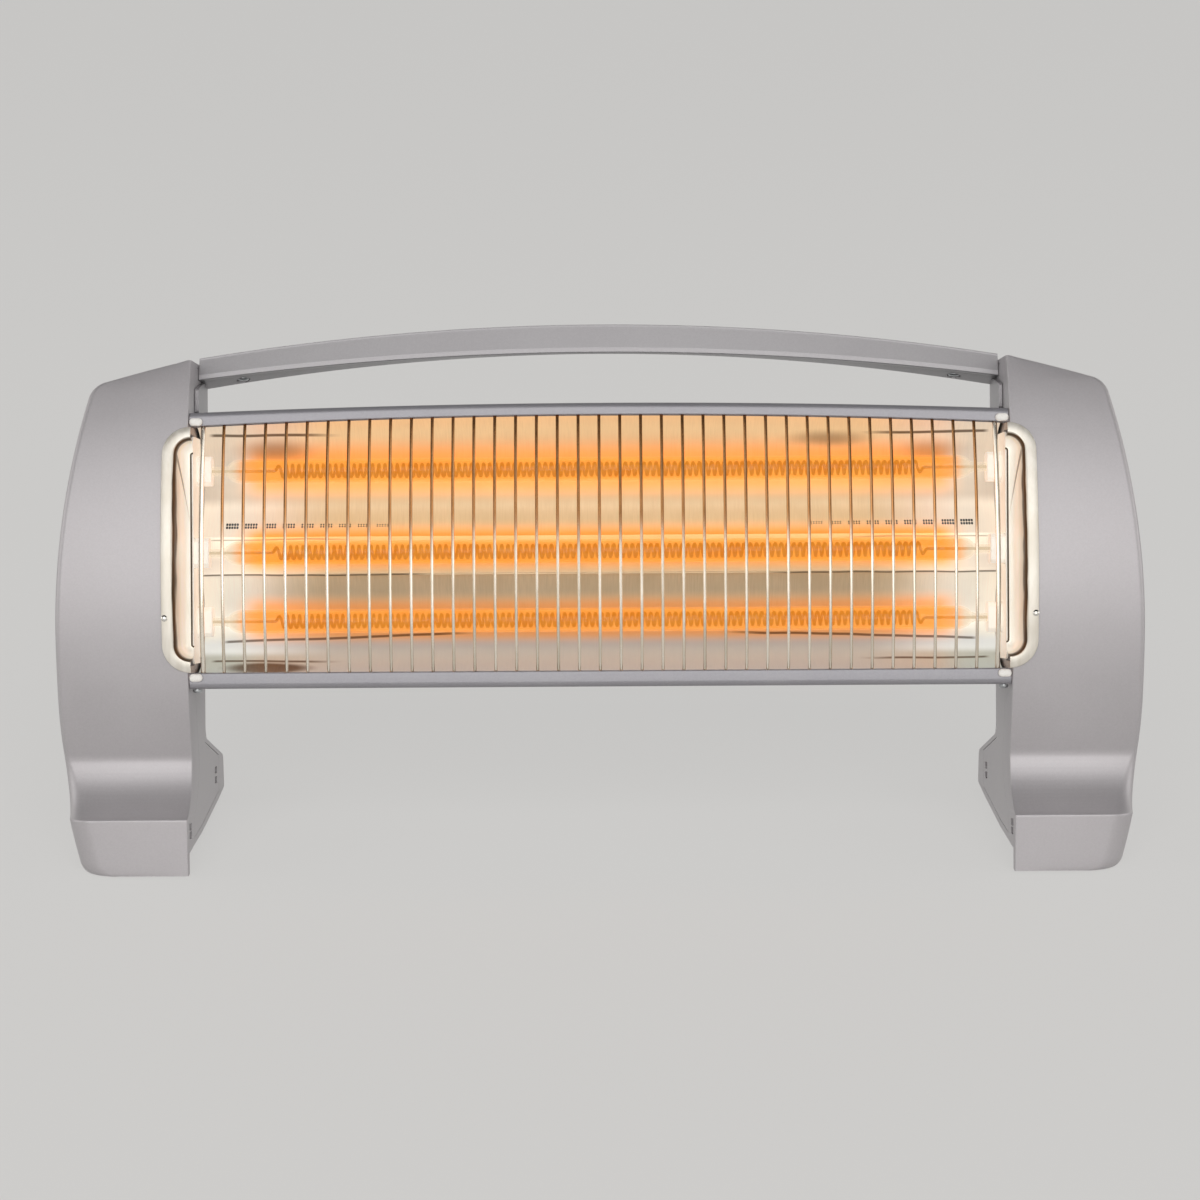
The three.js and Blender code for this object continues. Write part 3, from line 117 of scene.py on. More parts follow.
def arch_roof(y):
    share = (y - TOE_LIP) / (ARCH_FRONT - TOE_LIP)
    return ARCH_LIP_HEIGHT + share * (ARCH_FRONT_HEIGHT - ARCH_LIP_HEIGHT)


def spaced(low, high, step=STEP):
    count = max(1, round(abs(high - low) / step))
    return [low + (high - low) * i / count for i in range(count + 1)]


def dense(corners, step=STEP):
    """A broken line with points at most a step apart."""
    line = [Vector(corners[0])]
    for start, end in zip(corners, corners[1:]):
        start, end = Vector(start), Vector(end)
        count = max(1, math.ceil((end - start).length / step))
        line += [start.lerp(end, i / count) for i in range(1, count + 1)]
    return line


def corner_arc(corner, back, ahead, radius, steps):
    """An arc that rounds a corner between two directions, and how far from the corner it starts."""
    half = math.acos(max(-1, min(1, back.dot(ahead)))) / 2
    reach = radius / math.tan(half)
    centre = corner + (back + ahead).normalized() * radius / math.sin(half)
    start, end = corner + back * reach - centre, corner + ahead * reach - centre
    turn = math.atan2(start.x * end.y - start.y * end.x, start.dot(end))
    return [centre + Matrix.Rotation(turn * i / steps, 2) @ start for i in range(steps + 1)], reach


def fillet(line, corner, radius, steps=8):
    """The line with an arc in place of the corner nearest to a given point."""
    index = min(range(len(line)), key=lambda i: (line[i] - Vector(corner)).length)
    corner = line[index]

    def heading(step):
        i = index + step
        while 0 < i < len(line) - 1 and (line[i] - corner).length < STEP:
            i += step
        return (line[i] - corner).normalized()

    arc, reach = corner_arc(corner, heading(-1), heading(1), radius, steps)
    clear = reach * 1.02
    before = [p for p in line[:index] if (p - corner).length > clear]
    after = [p for p in line[index + 1 :] if (p - corner).length > clear]
    return before + arc + after


def along(line, height):
    """First value of a line of (value, height) points that runs downwards, at a height."""
    low, high = 0, len(line) - 1
    if height >= line[0].y:
        return line[0].x
    while high - low > 1:
        middle = (low + high) // 2
        if line[middle].y > height:
            low = middle
        else:
            high = middle
    a, b = line[low], line[high]
    share = min(1, (a.y - height) / max(a.y - b.y, 1e-9))
    return a.x + (b.x - a.x) * share


def casing_outline():
    shoulder = CASING_TOP
    for _ in range(12):
        shoulder = top_edge(side_edge(shoulder))
    top = [Vector((x, top_edge(x))) for x in spaced(CASING_INNER + TOP_LAND, side_edge(shoulder))]
    side = [Vector((side_edge(z), z)) for z in spaced(shoulder, CASING_BOTTOM)[1:]]
    line = top + side + dense([side[-1], (CASING_INNER, CASING_BOTTOM)])[1:]
    return fillet(fillet(line, top[-1], SHOULDER_RADIUS), side[-1], SOLE_RADIUS)


def front_profile():
    valley, rise = belly(VALLEY_HEIGHT), VALLEY_HEIGHT - TOE_TOP
    drop = valley + TOE_REACH
    radius = (drop * drop + rise * rise) / (2 * drop)
    sweep = math.asin(rise / radius)
    line = [Vector((belly(z), z)) for z in spaced(CASING_TOP, VALLEY_HEIGHT)]
    for i in range(1, 17):
        turn = sweep * i / 16
        line.append(Vector((valley - radius * (1 - math.cos(turn)), VALLEY_HEIGHT - radius * math.sin(turn))))
    line += dense([line[-1], (0, CASING_BOTTOM)])[1:]
    line = fillet(line, (valley, VALLEY_HEIGHT), VALLEY_ROUND)
    return fillet(line, (-TOE_REACH, TOE_TOP), TOE_ROUND, 5)


def back_profile():
    corners = [
        (CASING_BACK, CASING_TOP),
        (CASING_BACK, FLARE_TOP),
        (FLARE_DEPTH, FLARE_BOTTOM),
        (HEEL_DEPTH, HEEL_BOTTOM),
        (ARCH_REAR, ARCH_REAR_HEIGHT),
        (ARCH_FRONT, ARCH_FRONT_HEIGHT),
        (TOE_BLOCK, arch_roof(TOE_BLOCK)),
        (TOE_BLOCK, CASING_BOTTOM),
    ]
    line = dense(corners)
    for corner, radius in zip(corners[1:4], HEEL_ROUNDS):
        line = fillet(line, corner, radius, 6)
    return line


outline, front, back = casing_outline(), front_profile(), back_profile()


def added(name, data):
    made = bpy.data.objects.new(name, data)
    bpy.context.scene.collection.objects.link(made)
    return made


def mesh_object(name, points, faces):
    mesh = bpy.data.meshes.new(name)
    mesh.from_pydata([tuple(p) for p in points], [], faces)
    mesh.update()
    return added(name, mesh)


@contextmanager
def opened(made):
    """An object's mesh, open for editing."""
    shape = bmesh.new()
    shape.from_mesh(made.data)
    yield shape
    shape.to_mesh(made.data)
    shape.free()


def outward(made):
    with opened(made) as shape:
        bmesh.ops.remove_doubles(shape, verts=shape.verts, dist=1e-5)
        bmesh.ops.recalc_face_normals(shape, faces=shape.faces)
    return made


def loft(name, rings, closed=False):
    """A skin through rings of equally many points, with flat ends unless the rings close on themselves."""
    count = len(rings[0])
    faces = []
    for r in range(len(rings) if closed else len(rings) - 1):
        a, b = r * count, (r + 1) % len(rings) * count
        faces += [(a + i, a + (i + 1) % count, b + (i + 1) % count, b + i) for i in range(count)]
    if not closed:
        last = (len(rings) - 1) * count
        faces += [tuple(reversed(range(count))), tuple(range(last, last + count))]
    return outward(mesh_object(name, [p for ring in rings for p in ring], faces))


def prism(outline, axis, start, end):
    """An outline pushed along an axis: it reads (y, z) along x, (x, z) along y and (x, y) along z."""
    spots = {
        "x": lambda p, d: (d, p[0], p[1]),
        "y": lambda p, d: (p[0], d, p[1]),
        "z": lambda p, d: (p[0], p[1], d),
    }[axis]
    return loft("cutter", [[spots(p, start) for p in outline], [spots(p, end) for p in outline]])


def turned(profile, axis, centre, steps=32, name="cutter"):
    """A profile of (radius, distance) points turned about an axis through a point."""
    order = {"x": (2, 0, 1), "y": (1, 2, 0), "z": (0, 1, 2)}[axis]
    points, faces, rings = [], [], []
    for radius, distance in profile:
        if radius < 1e-6:
            rings.append([len(points)] * steps)
            points.append((0, 0, distance))
            continue
        rings.append(list(range(len(points), len(points) + steps)))
        turns = [2 * math.pi * i / steps for i in range(steps)]
        points += [(radius * math.cos(t), radius * math.sin(t), distance) for t in turns]
    for low, high in zip(rings, rings[1:]):
        for i in range(steps):
            j = (i + 1) % steps
            face = list(dict.fromkeys((low[i], low[j], high[j], high[i])))
            if len(face) > 2:
                faces.append(face)
    spots = [Vector([p[order[0]], p[order[1]], p[order[2]]]) + Vector(centre) for p in points]
    return outward(mesh_object(name, spots, faces))


def rod(radius, start, end, axis, centre, steps=32):
    return turned([(0, start), (radius, start), (radius, end), (0, end)], axis, centre, steps)


def shaped(made):
    """An object's mesh with its modifiers worked in."""
    return bpy.data.meshes.new_from_object(made.evaluated_get(bpy.context.evaluated_depsgraph_get()))


def applied(made):
    mesh = shaped(made)
    made.modifiers.clear()
    made.data = mesh
    return made


def combine(made, other, operation="DIFFERENCE", keep=False):
    step = made.modifiers.new("combine", "BOOLEAN")
    step.object, step.operation, step.solver = other, operation, "MANIFOLD"
    applied(made)
    if not keep:
        discard(other)
    return made


def copy_of(made, name):
    return added(name, made.data.copy())


def discard(*objects):
    for thing in objects:
        bpy.data.objects.remove(thing)


def mirrored(made, name):
    double = copy_of(made, name)
    double.data.transform(Matrix.Scale(-1, 4, (1, 0, 0)))
    double.data.flip_normals()
    return double


def joined(name, pieces):
    """Several loose bodies as one piece."""
    made = mesh_object(name, [], [])
    with opened(made) as shape:
        for piece in pieces:
            shape.from_mesh(piece.data)
            discard(piece)
    return made


def soften(made, angle=28):
    """Smooth shading that keeps the edges sharper than an angle."""
    made.data.polygons.foreach_set("use_smooth", [True] * len(made.data.polygons))
    made.data.set_sharp_from_angle(angle=math.radians(angle))
    return made


def seat(made, finish, slot, *nodes, body="frame", angle=28, turn=FACE):
    """Puts a shaped piece into the object's frame, gives it its finish and hides the CAD parts that it stands in for.
    """
    made.data.transform(turn)
    made.data.materials.clear()
    made.data.materials.append(finish.material)
    soften(made, angle)
    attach(made, body)
    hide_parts(*nodes)


def seat_both(right, finish, slot, node, angle=28):
    """Seats a right-hand piece of the frame and its mirror image on the left."""
    left = mirrored(right, right.name.replace("right_", "left_"))
    seat(right, finish, slot, "right_" + node, angle=angle)
    seat(left, finish, slot, "left_" + node, angle=angle)


def front_radius(z):
    share = min(1, max(0, (VALLEY_HEIGHT - z) / (VALLEY_HEIGHT - TOE_TOP)))
    return EDGE_RADIUS + share * (TOE_CORNER - EDGE_RADIUS)


def eroded(line, z, inset, side):
    """Where a line lies at a height after the space beside it has grown into it by an inset."""
    if not inset:
        return along(line, z)
    places = []
    for i in range(-6, 7):
        step = inset * math.sin(math.pi / 2 * i / 6)
        places.append(side * along(line, z + step) + math.sqrt(max(inset**2 - step**2, 0)))
    return side * max(places)


def casing_ring(z, inset):
    inner = CASING_INNER + inset
    outer, near, far = eroded(outline, z, inset, -1), eroded(front, z, inset, 1), eroded(back, z, inset, -1)
    across = 0.45 * (outer - inner)
    round_back = min(max(BACK_EDGE_RADIUS - inset, 0.3), across)
    round_front = min(max(front_radius(z) - inset, 0.3), across, far - near - round_back)
    round_inner = min(max(INNER_EDGE_RADIUS - inset, 0.1), across)
    ring = []
    for x, y, radius, start, steps in (
        (inner + round_inner, near + round_inner, round_inner, 180, 3),
        (outer - round_front, near + round_front, round_front, 270, 8),
        (outer - round_back, far - round_back, round_back, 0, 6),
        (inner + round_inner, far - round_inner, round_inner, 90, 3),
    ):
        for i in range(steps + 1):
            turn = math.radians(start + 90 * i / steps)
            ring.append((x + radius * math.cos(turn), y + radius * math.sin(turn), z))
    return ring


def casing_skin(inset):
    top = top_edge(CASING_INNER + TOP_LAND) if not inset else top_edge(CASING_INNER + 3 * inset) - inset
    bottom = CASING_BOTTOM if not inset else arch_roof(TOE_BLOCK) + inset
    levels = [top]
    closest = 0.12 if not inset else 1
    for z in sorted((p.y for p in outline + front + back if bottom < p.y < top), reverse=True):
        if levels[-1] - z > closest and z - bottom > closest:
            levels.append(z)
    return loft("casing", [casing_ring(z, inset) for z in levels + [bottom]])


def ahead_of(depth):
    line = [(p.x + depth, p.y) for p in front]
    ahead = -BELLY_PROUD - OVERRUN
    high, low = CASING_TOP + OVERRUN, CASING_BOTTOM - OVERRUN
    return [(ahead, high), (line[0][0], high), *line, (line[-1][0], low), (ahead, low)]


def rounded(corners, steps=6, closed=True):
    """Corners given as (x, y, radius), each with an arc."""
    line = []
    for i, (x, y, radius) in enumerate(corners):
        if not radius or (not closed and i in (0, len(corners) - 1)):
            line.append(Vector((x, y)))
            continue
        here = Vector((x, y))
        back_to = (Vector(corners[i - 1][:2]) - here).normalized()
        on_to = (Vector(corners[(i + 1) % len(corners)][:2]) - here).normalized()
        line += corner_arc(here, back_to, on_to, radius, steps)[0]
    return line


def rectangle(x0, y0, x1, y1, radius=0, steps=6):
    corners = [(x0, y0), (x1, y0), (x1, y1), (x0, y1)]
    return rounded([(x, y, radius) for x, y in corners], steps) if radius else corners


def toe_recess():
    outer, inner, far = side_edge(CASING_BOTTOM) - TOE_LIP, CASING_INNER - OVERRUN, TOE_BLOCK + OVERRUN
    plan = rounded([(inner, TOE_LIP, 0), (outer, TOE_LIP, TOE_CORNER - TOE_LIP), (outer, far, 0), (inner, far, 0)])
    near = TOE_LIP - OVERRUN
    low = CASING_BOTTOM - OVERRUN
    side = [(near, low), (far, low), (far, arch_roof(far)), (near, arch_roof(near))]
    block = prism(plan, "z", low, ARCH_LIP_HEIGHT + OVERRUN)
    return combine(block, prism(side, "x", inner - OVERRUN, outer + OVERRUN), "INTERSECT")


def under_floor():
    ends = (-OVERRUN, HEEL_DEPTH + OVERRUN)
    line = [(y, TOE_FLOOR + y * math.tan(LEAN) + SOLE_CLEARANCE) for y in ends]
    low = CASING_BOTTOM - 2 * OVERRUN
    return prism([line[0], (ends[0], low), (ends[1], low), line[1]], "x", *ACROSS)


ACROSS = (CASING_INNER - OVERRUN, HALF_WIDTH + OVERRUN)
THROUGH_PANEL = (CASING_INNER - OVERRUN, CASING_INNER + WALL + GAP)
casing_solid = casing_skin(0)
casing_walls = copy_of(casing_solid, "casing_walls")
combine(casing_walls, casing_skin(WALL))
combine(casing_walls, toe_recess())
combine(casing_walls, under_floor())


def snap_windows(made, depth, heights):
    for z in heights:
        window = rectangle(depth, z - SNAP_HEIGHT, depth + SNAP_DEPTH, z, 0.4, 3)
        combine(made, prism(window, "x", *THROUGH_PANEL))
    return made


def front_shell():
    made = copy_of(casing_walls, "right_front_shell_skin")
    combine(made, prism(ahead_of(SHELL_DEPTH), "x", *ACROSS), "INTERSECT")
    notch = rectangle(
        CASING_INNER - BEZEL_CORNER - OVERRUN,
        BEZEL_BOTTOM + BEZEL_LAP,
        BEZEL_OUTER - BEZEL_LAP,
        BEZEL_TOP - BEZEL_LAP,
        BEZEL_CORNER - BEZEL_LAP,
        10,
    )
    combine(made, prism(notch, "y", -BELLY_PROUD - OVERRUN, CASING_BACK))
    combine(made, rod(1, -OVERRUN, OVERRUN, "y", (RIVET_X, belly(RIVET_HEIGHT), RIVET_HEIGHT), 16))
    return snap_windows(made, TOE_LIP, TOE_SNAPS)


def linear(code):
    """A written sRGB colour as the linear values that nodes take."""
    shares = [int(code[i : i + 2], 16) / 255 for i in (1, 3, 5)]
    return tuple(c / 12.92 if c <= 0.04045 else ((c + 0.055) / 1.055) ** 2.4 for c in shares) + (1.0,)


def reckoned(operation):
    return lambda term, *others: term.nodes.maths(operation, term, *others)


class Term:
    """A node's output to reckon with: each sign adds a Math node to its tree."""

    __add__, __sub__, __mul__ = reckoned("ADD"), reckoned("SUBTRACT"), reckoned("MULTIPLY")
    __truediv__, __pow__, __abs__ = reckoned("DIVIDE"), reckoned("POWER"), reckoned("ABSOLUTE")

    def __init__(self, nodes, output):
        self.nodes, self.output = nodes, output

    def __radd__(self, value):
        return self.nodes.maths("ADD", value, self)

    def __rsub__(self, value):
        return self.nodes.maths("SUBTRACT", value, self)


class Nodes:
    """A node tree with short ways to add to it. What a node is fed is a value, a written colour or a term."""

    def __init__(self, tree):
        self.tree = tree

    def add(self, kind, terms=None, **settings):
        made = self.tree.nodes.new(kind)
        for key, value in settings.items():
            setattr(made, key, value)
        self.feed(made, terms or {})
        return made

    def feed(self, node, terms):
        for key, term in terms.items():
            if isinstance(term, Term):
                self.tree.links.new(term.output, node.inputs[key])
            else:
                node.inputs[key].default_value = linear(term) if isinstance(term, str) else term

    def out(self, output, kind, terms=None, **settings):
        return Term(self, self.add(kind, terms, **settings).outputs[output])

    def maths(self, operation, *terms):
        return self.out(0, "ShaderNodeMath", dict(enumerate(terms)), operation=operation)

    def highest(self, first, *others):
        for term in others:
            first = self.maths("MAXIMUM", first, term)
        return first

    def axes(self, place):
        return [Term(self, output) for output in self.add("ShaderNodeSeparateXYZ", {0: place}).outputs]

    def ranged(self, value, start, end, first, last, **settings):
        """Goes from a first to a last level while a value goes from start to end."""
        terms = {"Value": value, "From Min": start, "From Max": end, "To Min": first, "To Max": last}
        return self.out("Result", "ShaderNodeMapRange", terms, **settings)

    def faded(self, *levels):
        return self.ranged(*levels, interpolation_type="SMOOTHSTEP")

    def ramp(self, value, *stops):
        """Colours at two or more places of a value."""
        tone = self.add("ShaderNodeValToRGB", {"Fac": value})
        elements = tone.color_ramp.elements
        for element, (position, code) in zip(elements, (stops[0], stops[-1])):
            element.color, element.position = linear(code), position
        for position, code in stops[1:-1]:
            elements.new(position).color = linear(code)
        return Term(self, tone.outputs["Color"])


class Finish(Nodes):
    """A material in the making: its shader, and the object coordinates that its patterns follow."""

    def __init__(self, name, values):
        self.material = bpy.data.materials.new(name)
        self.material.use_nodes = True
        super().__init__(self.material.node_tree)
        self.shader = self.tree.nodes["Principled BSDF"]
        self.place = self.out("Object", "ShaderNodeTexCoord")
        self.set(values)

    def set(self, values):
        self.feed(self.shader, values)

    def colour(self):
        return Term(self, self.shader.inputs["Base Color"].links[0].from_socket)

    def aside(self):
        return abs(self.axes(self.place)[0])

    def noise(self, size, detail, streak=None):
        """Noise with spots of a size in metres, drawn out along an axis where the streak's scale is small."""
        place = self.place
        if streak:
            place = self.out("Vector", "ShaderNodeMapping", {"Vector": place, "Scale": streak})
        return self.out("Fac", "ShaderNodeTexNoise", {"Vector": place, "Scale": 1 / size, "Detail": detail})

    def attribute(self, name):
        return self.out("Fac", "ShaderNodeAttribute", attribute_name=name)

    def mixed(self, share, first, second, **settings):
        return self.out(2, "ShaderNodeMix", {0: share, 6: first, 7: second}, data_type="RGBA", **settings)

    def relief(self, height, strength, distance):
        """A bump of a depth in metres, laid under the relief that the shader has already."""
        bump = self.out("Normal", "ShaderNodeBump", {"Height": height, "Strength": strength, "Distance": distance})
        finer = self.shader.inputs["Normal"].links
        self.feed(finer[0].from_node if finer else self.shader, {"Normal": bump})


def satin_paint(name, colour, dark, light, metallic, roughness):
    """Sprayed metallic paint on moulded ABS: flakes of 0.25 mm, drawn at 0.6 mm so that they show,
    a faint cloudiness from the spray, and an orange peel of about 1.5 mm in the clear."""
    made = Finish(name, {"Metallic": metallic, "Coat Weight": 0.12, "Coat Roughness": 0.3})
    flakes = made.out("Color", "ShaderNodeTexVoronoi", {"Vector": made.place, "Scale": 1 / 0.0006})
    grain = made.out("Red", "ShaderNodeSeparateColor", {"Color": flakes})
    cloud = made.noise(0.05, 3)
    blend = made.maths("MULTIPLY_ADD", grain, 0.25, cloud * 0.75)
    tone = made.ramp(blend, (0.2, dark), (0.5, colour), (0.8, light))
    made.set({"Base Color": tone, "Roughness": made.ranged(cloud, 0, 1, roughness - 0.04, roughness + 0.05)})
    made.relief(made.noise(0.0015, 1), 0.12, 0.0001)
    return made


casing_paint = satin_paint("Satin metallic paint on moulded ABS", "#b8b4b6", "#b3afb1", "#bdb9bb", 0.35, 0.42)
seat_both(front_shell(), casing_paint, "casing_paint", "front_shell")


# Inner panels: flat covers that close the casings towards the opening and the legs, same ABS and paint.
# Each drops into the rear cover's edge, is cut out for the ceramic caps and snaps in at the heel.

HEEL_SNAPS, HEEL_SNAP_DEPTH = (-88, -93.2), 101
CAP_CLEARANCE = 1.5
TUBE_HEIGHTS = {"top": 67, "middle": 25, "bottom": -10}
TUBE_DEPTHS = {"top": 35, "middle": 23, "bottom": 35}
CAP_DEPTH, CAP_HEIGHT = 10.6, 15


def panel_outline(grown):
    """The panel from the side, with its clearance when grown."""
    top = CASING_TOP - WALL - GAP + grown
    depth = SHELL_DEPTH + GAP - grown
    line = [Vector((p.x + depth, p.y)) for p in front if ARCH_FRONT_HEIGHT < p.y < top]
    rear = CASING_BACK - WALL - GAP + grown
    seam_rear = FLARE_DEPTH - HEEL_BAND + grown
    seam_top = FLARE_TOP - WALL
    rise = (FLARE_BOTTOM - FLARE_TOP) / (FLARE_DEPTH - CASING_BACK)
    tip = line[-1].x
    sole = SOLE_BAND - grown
    return [
        (line[0].x, top),
        *line,
        (tip, arch_roof(tip) + sole),
        (ARCH_FRONT, ARCH_FRONT_HEIGHT + sole),
        (seam_rear, ARCH_REAR_HEIGHT + sole + (seam_rear - ARCH_REAR) * math.tan(LEAN)),
        (seam_rear, seam_top + rise * (seam_rear - rear) + grown),
        (rear, seam_top + grown),
        (rear, top),
    ]


def inner_panel():
    made = prism(panel_outline(0), "x", CASING_INNER, CASING_INNER + WALL)
    made.name = "right_inner_panel_plate"
    notch = rectangle(
        0,
        TUBE_HEIGHTS["bottom"] - CAP_HEIGHT / 2 - CAP_CLEARANCE,
        TUBE_DEPTHS["top"] + CAP_DEPTH / 2 + CAP_CLEARANCE,
        TUBE_HEIGHTS["top"] + CAP_HEIGHT / 2 + CAP_CLEARANCE,
    )
    combine(made, prism(notch, "x", CASING_INNER - OVERRUN, CASING_INNER + WALL + OVERRUN))
    return snap_windows(made, HEEL_SNAP_DEPTH, HEEL_SNAPS)


seat_both(inner_panel(), casing_paint, "casing_paint", "inner_panel")


# Rear covers: back, outer side, heel and sole of each casing in one ABS moulding, painted with the fronts.
# Two screw posts stand inside; the right one also has the selector's dish, the gland's hole and the pin's hole.

COVER_SCREWS = ((234, 96), (246, -58.5))
POST_RADIUS, POST_LENGTH = 4.5, 10
SHANK = 1.5
DISH_RADIUS, DISH_DEPTH, DISH_ROUND, DISH_LIP = 15.5, 11, 1.2, 0.8
SPINDLE_HOLE = 3.5
GLAND_X, GLAND_HEIGHT, GLAND_RADIUS = 238, -44, 6
TIP_X, TIP_DEPTH, TIP_HOLE, TIP_HOLE_DEPTH = 238, 76.02, 4, 14
dish_centre = Vector((side_edge(KNOB_HEIGHT), KNOB_DEPTH, KNOB_HEIGHT))


def rear_cover(name):
    made = copy_of(casing_walls, name)
    combine(made, prism(ahead_of(SHELL_DEPTH + GAP), "x", *ACROSS))
    combine(made, prism(panel_outline(GAP), "x", *THROUGH_PANEL))
    for x, z in COVER_SCREWS:
        post = (x, CASING_BACK - WALL / 2, z)
        combine(made, rod(POST_RADIUS, -POST_LENGTH, 0, "y", post), "UNION")
        combine(made, rod(SHANK + GAP, -POST_LENGTH - OVERRUN, WALL + OVERRUN, "y", post, 16))
    return made


def with_dish(made):
    cup = rod(DISH_RADIUS + WALL, -DISH_DEPTH - WALL, 0, "x", dish_centre, 96)
    combine(made, combine(cup, casing_solid, "INTERSECT", keep=True), "UNION")
    bowl = [(0, -DISH_DEPTH), (DISH_RADIUS - DISH_ROUND, -DISH_DEPTH), (DISH_RADIUS, -DISH_DEPTH + DISH_ROUND)]
    wide = DISH_RADIUS + DISH_LIP
    mouth = [(DISH_RADIUS, -DISH_LIP - 0.6), (wide, 0.4), (wide, OVERRUN), (0, OVERRUN)]
    combine(made, turned(bowl + mouth, "x", dish_centre, 96))
    combine(made, rod(SPINDLE_HOLE, -DISH_DEPTH - OVERRUN, OVERRUN, "x", dish_centre, 24))
    combine(made, rod(GLAND_RADIUS + GAP, -WALL - OVERRUN, OVERRUN, "y", (GLAND_X, CASING_BACK, GLAND_HEIGHT)))
    floor_y = FACE @ Vector((TIP_X, TIP_DEPTH, TOE_FLOOR + TIP_DEPTH * math.tan(LEAN)))
    pin = rod(TIP_HOLE, -OVERRUN, TIP_HOLE_DEPTH, "z", (TIP_X, floor_y.y / SCALE, 0), 24)
    pin.data.transform(FACE.inverted() @ Matrix.Scale(SCALE, 4))
    return combine(made, outward(pin))


right_rear = with_dish(rear_cover("right_rear_cover_skin"))
left_rear = mirrored(rear_cover("plain_rear_cover"), "left_rear_cover_skin")
seat(right_rear, casing_paint, "casing_paint", "right_rear_cover")
seat(left_rear, casing_paint, "casing_paint", "left_rear_cover")
discard(bpy.data.objects["plain_rear_cover"], casing_walls, casing_solid)


# Rear housing: a 1 mm zinc-coated steel trough that closes the heater's back, with three groups of air slots.
# Its top is bowed like the rail above it, and its ends run into the casings.

RAIL_SAG, RAIL_LOWER_SAG = 4, 5
TOP_RAIL_HEIGHT, TOP_RAIL_FRONT = 7, 10.2
BOTTOM_RAIL_HEIGHT, BOTTOM_RAIL_FRONT = 8, 5
RAIL_DEPTH, RAIL_CURL, RAIL_SHEET, RAIL_LIP_ROUND = 11, 3, 1, 0.4
RAIL_END = CASING_INNER - GAP
HOUSING_BACK, HOUSING_CORNER, HOUSING_DROP, HOUSING_LOW, HOUSING_SHEET = 65.5, 8, 1.5, -42.5, 1
LOUVRE_LENGTH, LOUVRE_HEIGHT, LOUVRE_PITCH_X, LOUVRE_PITCH_Z = 100, 4, 122, 17


def bow(x, sag):
    return sag * (1 - (x / CASING_INNER) ** 2)


def rail_top(x):
    return OPENING_TOP + TOP_RAIL_HEIGHT + bow(x, RAIL_SAG)


def rail_lower(x):
    return OPENING_TOP + bow(x, RAIL_LOWER_SAG)


def beside(line, distance):
    """A line moved sideways, to the right of its direction."""
    moved = []
    for i, p in enumerate(line):
        before, after = line[max(i - 1, 0)], line[min(i + 1, len(line) - 1)]
        a, b = (p - before).normalized(), (after - p).normalized()
        way = (a + b).normalized()
        stretch = max(way.dot(a if a.length else b), 0.5)
        moved.append(p + Vector((way.y, -way.x)) * distance / stretch)
    return moved


def sheet_ring(x, line, thickness):
    line = [Vector(p) for p in line]
    return [(x, p.x, p.y) for p in line + beside(line, -thickness)[::-1]]


def spanned(name, ring, half, count):
    """A skin through a ring's shapes at even places from one side to the other."""
    return loft(name, [ring(half * (2 * i / count - 1)) for i in range(count + 1)])


def housing_line(x):
    high, near = rail_top(x) - HOUSING_DROP, RAIL_DEPTH + 2 * GAP
    corners = [
        (TOP_RAIL_FRONT + near, high, 0),
        (HOUSING_BACK, high, HOUSING_CORNER),
        (HOUSING_BACK, HOUSING_LOW, HOUSING_CORNER),
        (BOTTOM_RAIL_FRONT + near, HOUSING_LOW, 0),
    ]
    return rounded(corners, 10, closed=False)


def slotted_housing():
    made = spanned("rear_housing_trough", lambda x: sheet_ring(x, housing_line(x), -HOUSING_SHEET), RAIL_END, 40)
    middle = (OPENING_TOP + OPENING_BOTTOM) / 2
    half_length, half_height = LOUVRE_LENGTH / 2, LOUVRE_HEIGHT / 2
    for row, column in product((-1.5, -0.5, 0.5, 1.5), (-1, 0, 1)):
        x, z = column * LOUVRE_PITCH_X, middle + row * LOUVRE_PITCH_Z
        slot = rectangle(x - half_length, z - half_height, x + half_length, z + half_height, half_height * 0.9, 6)
        combine(made, prism(slot, "y", HOUSING_BACK - OVERRUN, HOUSING_BACK + OVERRUN))
    return made


def brushed_metal(name, colour, dark, roughness, grain, depth, streak=(1, 1, 1), patch=0.03):
    """Sheet or pressed metal: streaks of the rolling or the plating along one way, patches in its tone,
    and a fine relief that breaks up reflections."""
    made = Finish(name, {"Metallic": 1.0})
    lines = made.noise(grain, 4, streak)
    tone = made.ramp(lines * made.noise(patch, 2), (0.12, dark), (0.36, colour))
    made.set({"Base Color": tone, "Roughness": made.ranged(lines, 0, 1, roughness * 0.75, roughness * 1.35)})
    made.relief(lines, 0.3, depth)
    return made


zinc_sheet = brushed_metal("Zinc-coated rolled steel", "#a9acae", "#83878a", 0.42, 0.012, 0.00002, (3, 1, 1), 0.02)
seat(slotted_housing(), zinc_sheet, "plated_steel", "rear_housing")


# Reflector: one 0.8 mm sheet of mirror-rolled stainless steel, bent into two troughs with a raised strip between.
# Its colour holds painted light: an orange glow round each tube, a cream glow for the studio's reflection in the
# troughs, and painted shade under the tubes and along the creases. It is brushed across its length.

REFLECTOR_SHEET, REFLECTOR_END, REFLECTOR_LAP = 0.8, 204.9, 2
STRIP_DEPTH, STRIP_TOP, STRIP_BOTTOM = 43, 33.5, 13.5
TROUGH_DEPTH, TROUGH_RISE, TROUGH_LIP, TROUGH_LIP_RISE = 26, 24, 9, 2
HEM_HEIGHT, HEM_DEPTH = 0.9, 1.4
VENT_PITCH, VENT_FIRST, VENTS, VENT_RISE = 9.7, 189.7, 9, 5.8
HOLE_PITCH, HOLE_ROW, HOLE_WIDE, HOLE_TALL = 1.35, 0.8, 0.56, 0.66
ROW_SHRINK, WIDE_SHRINK, TALL_SHRINK = 0.06, 0.035, 0.045
GLOW_CORE = 0.006
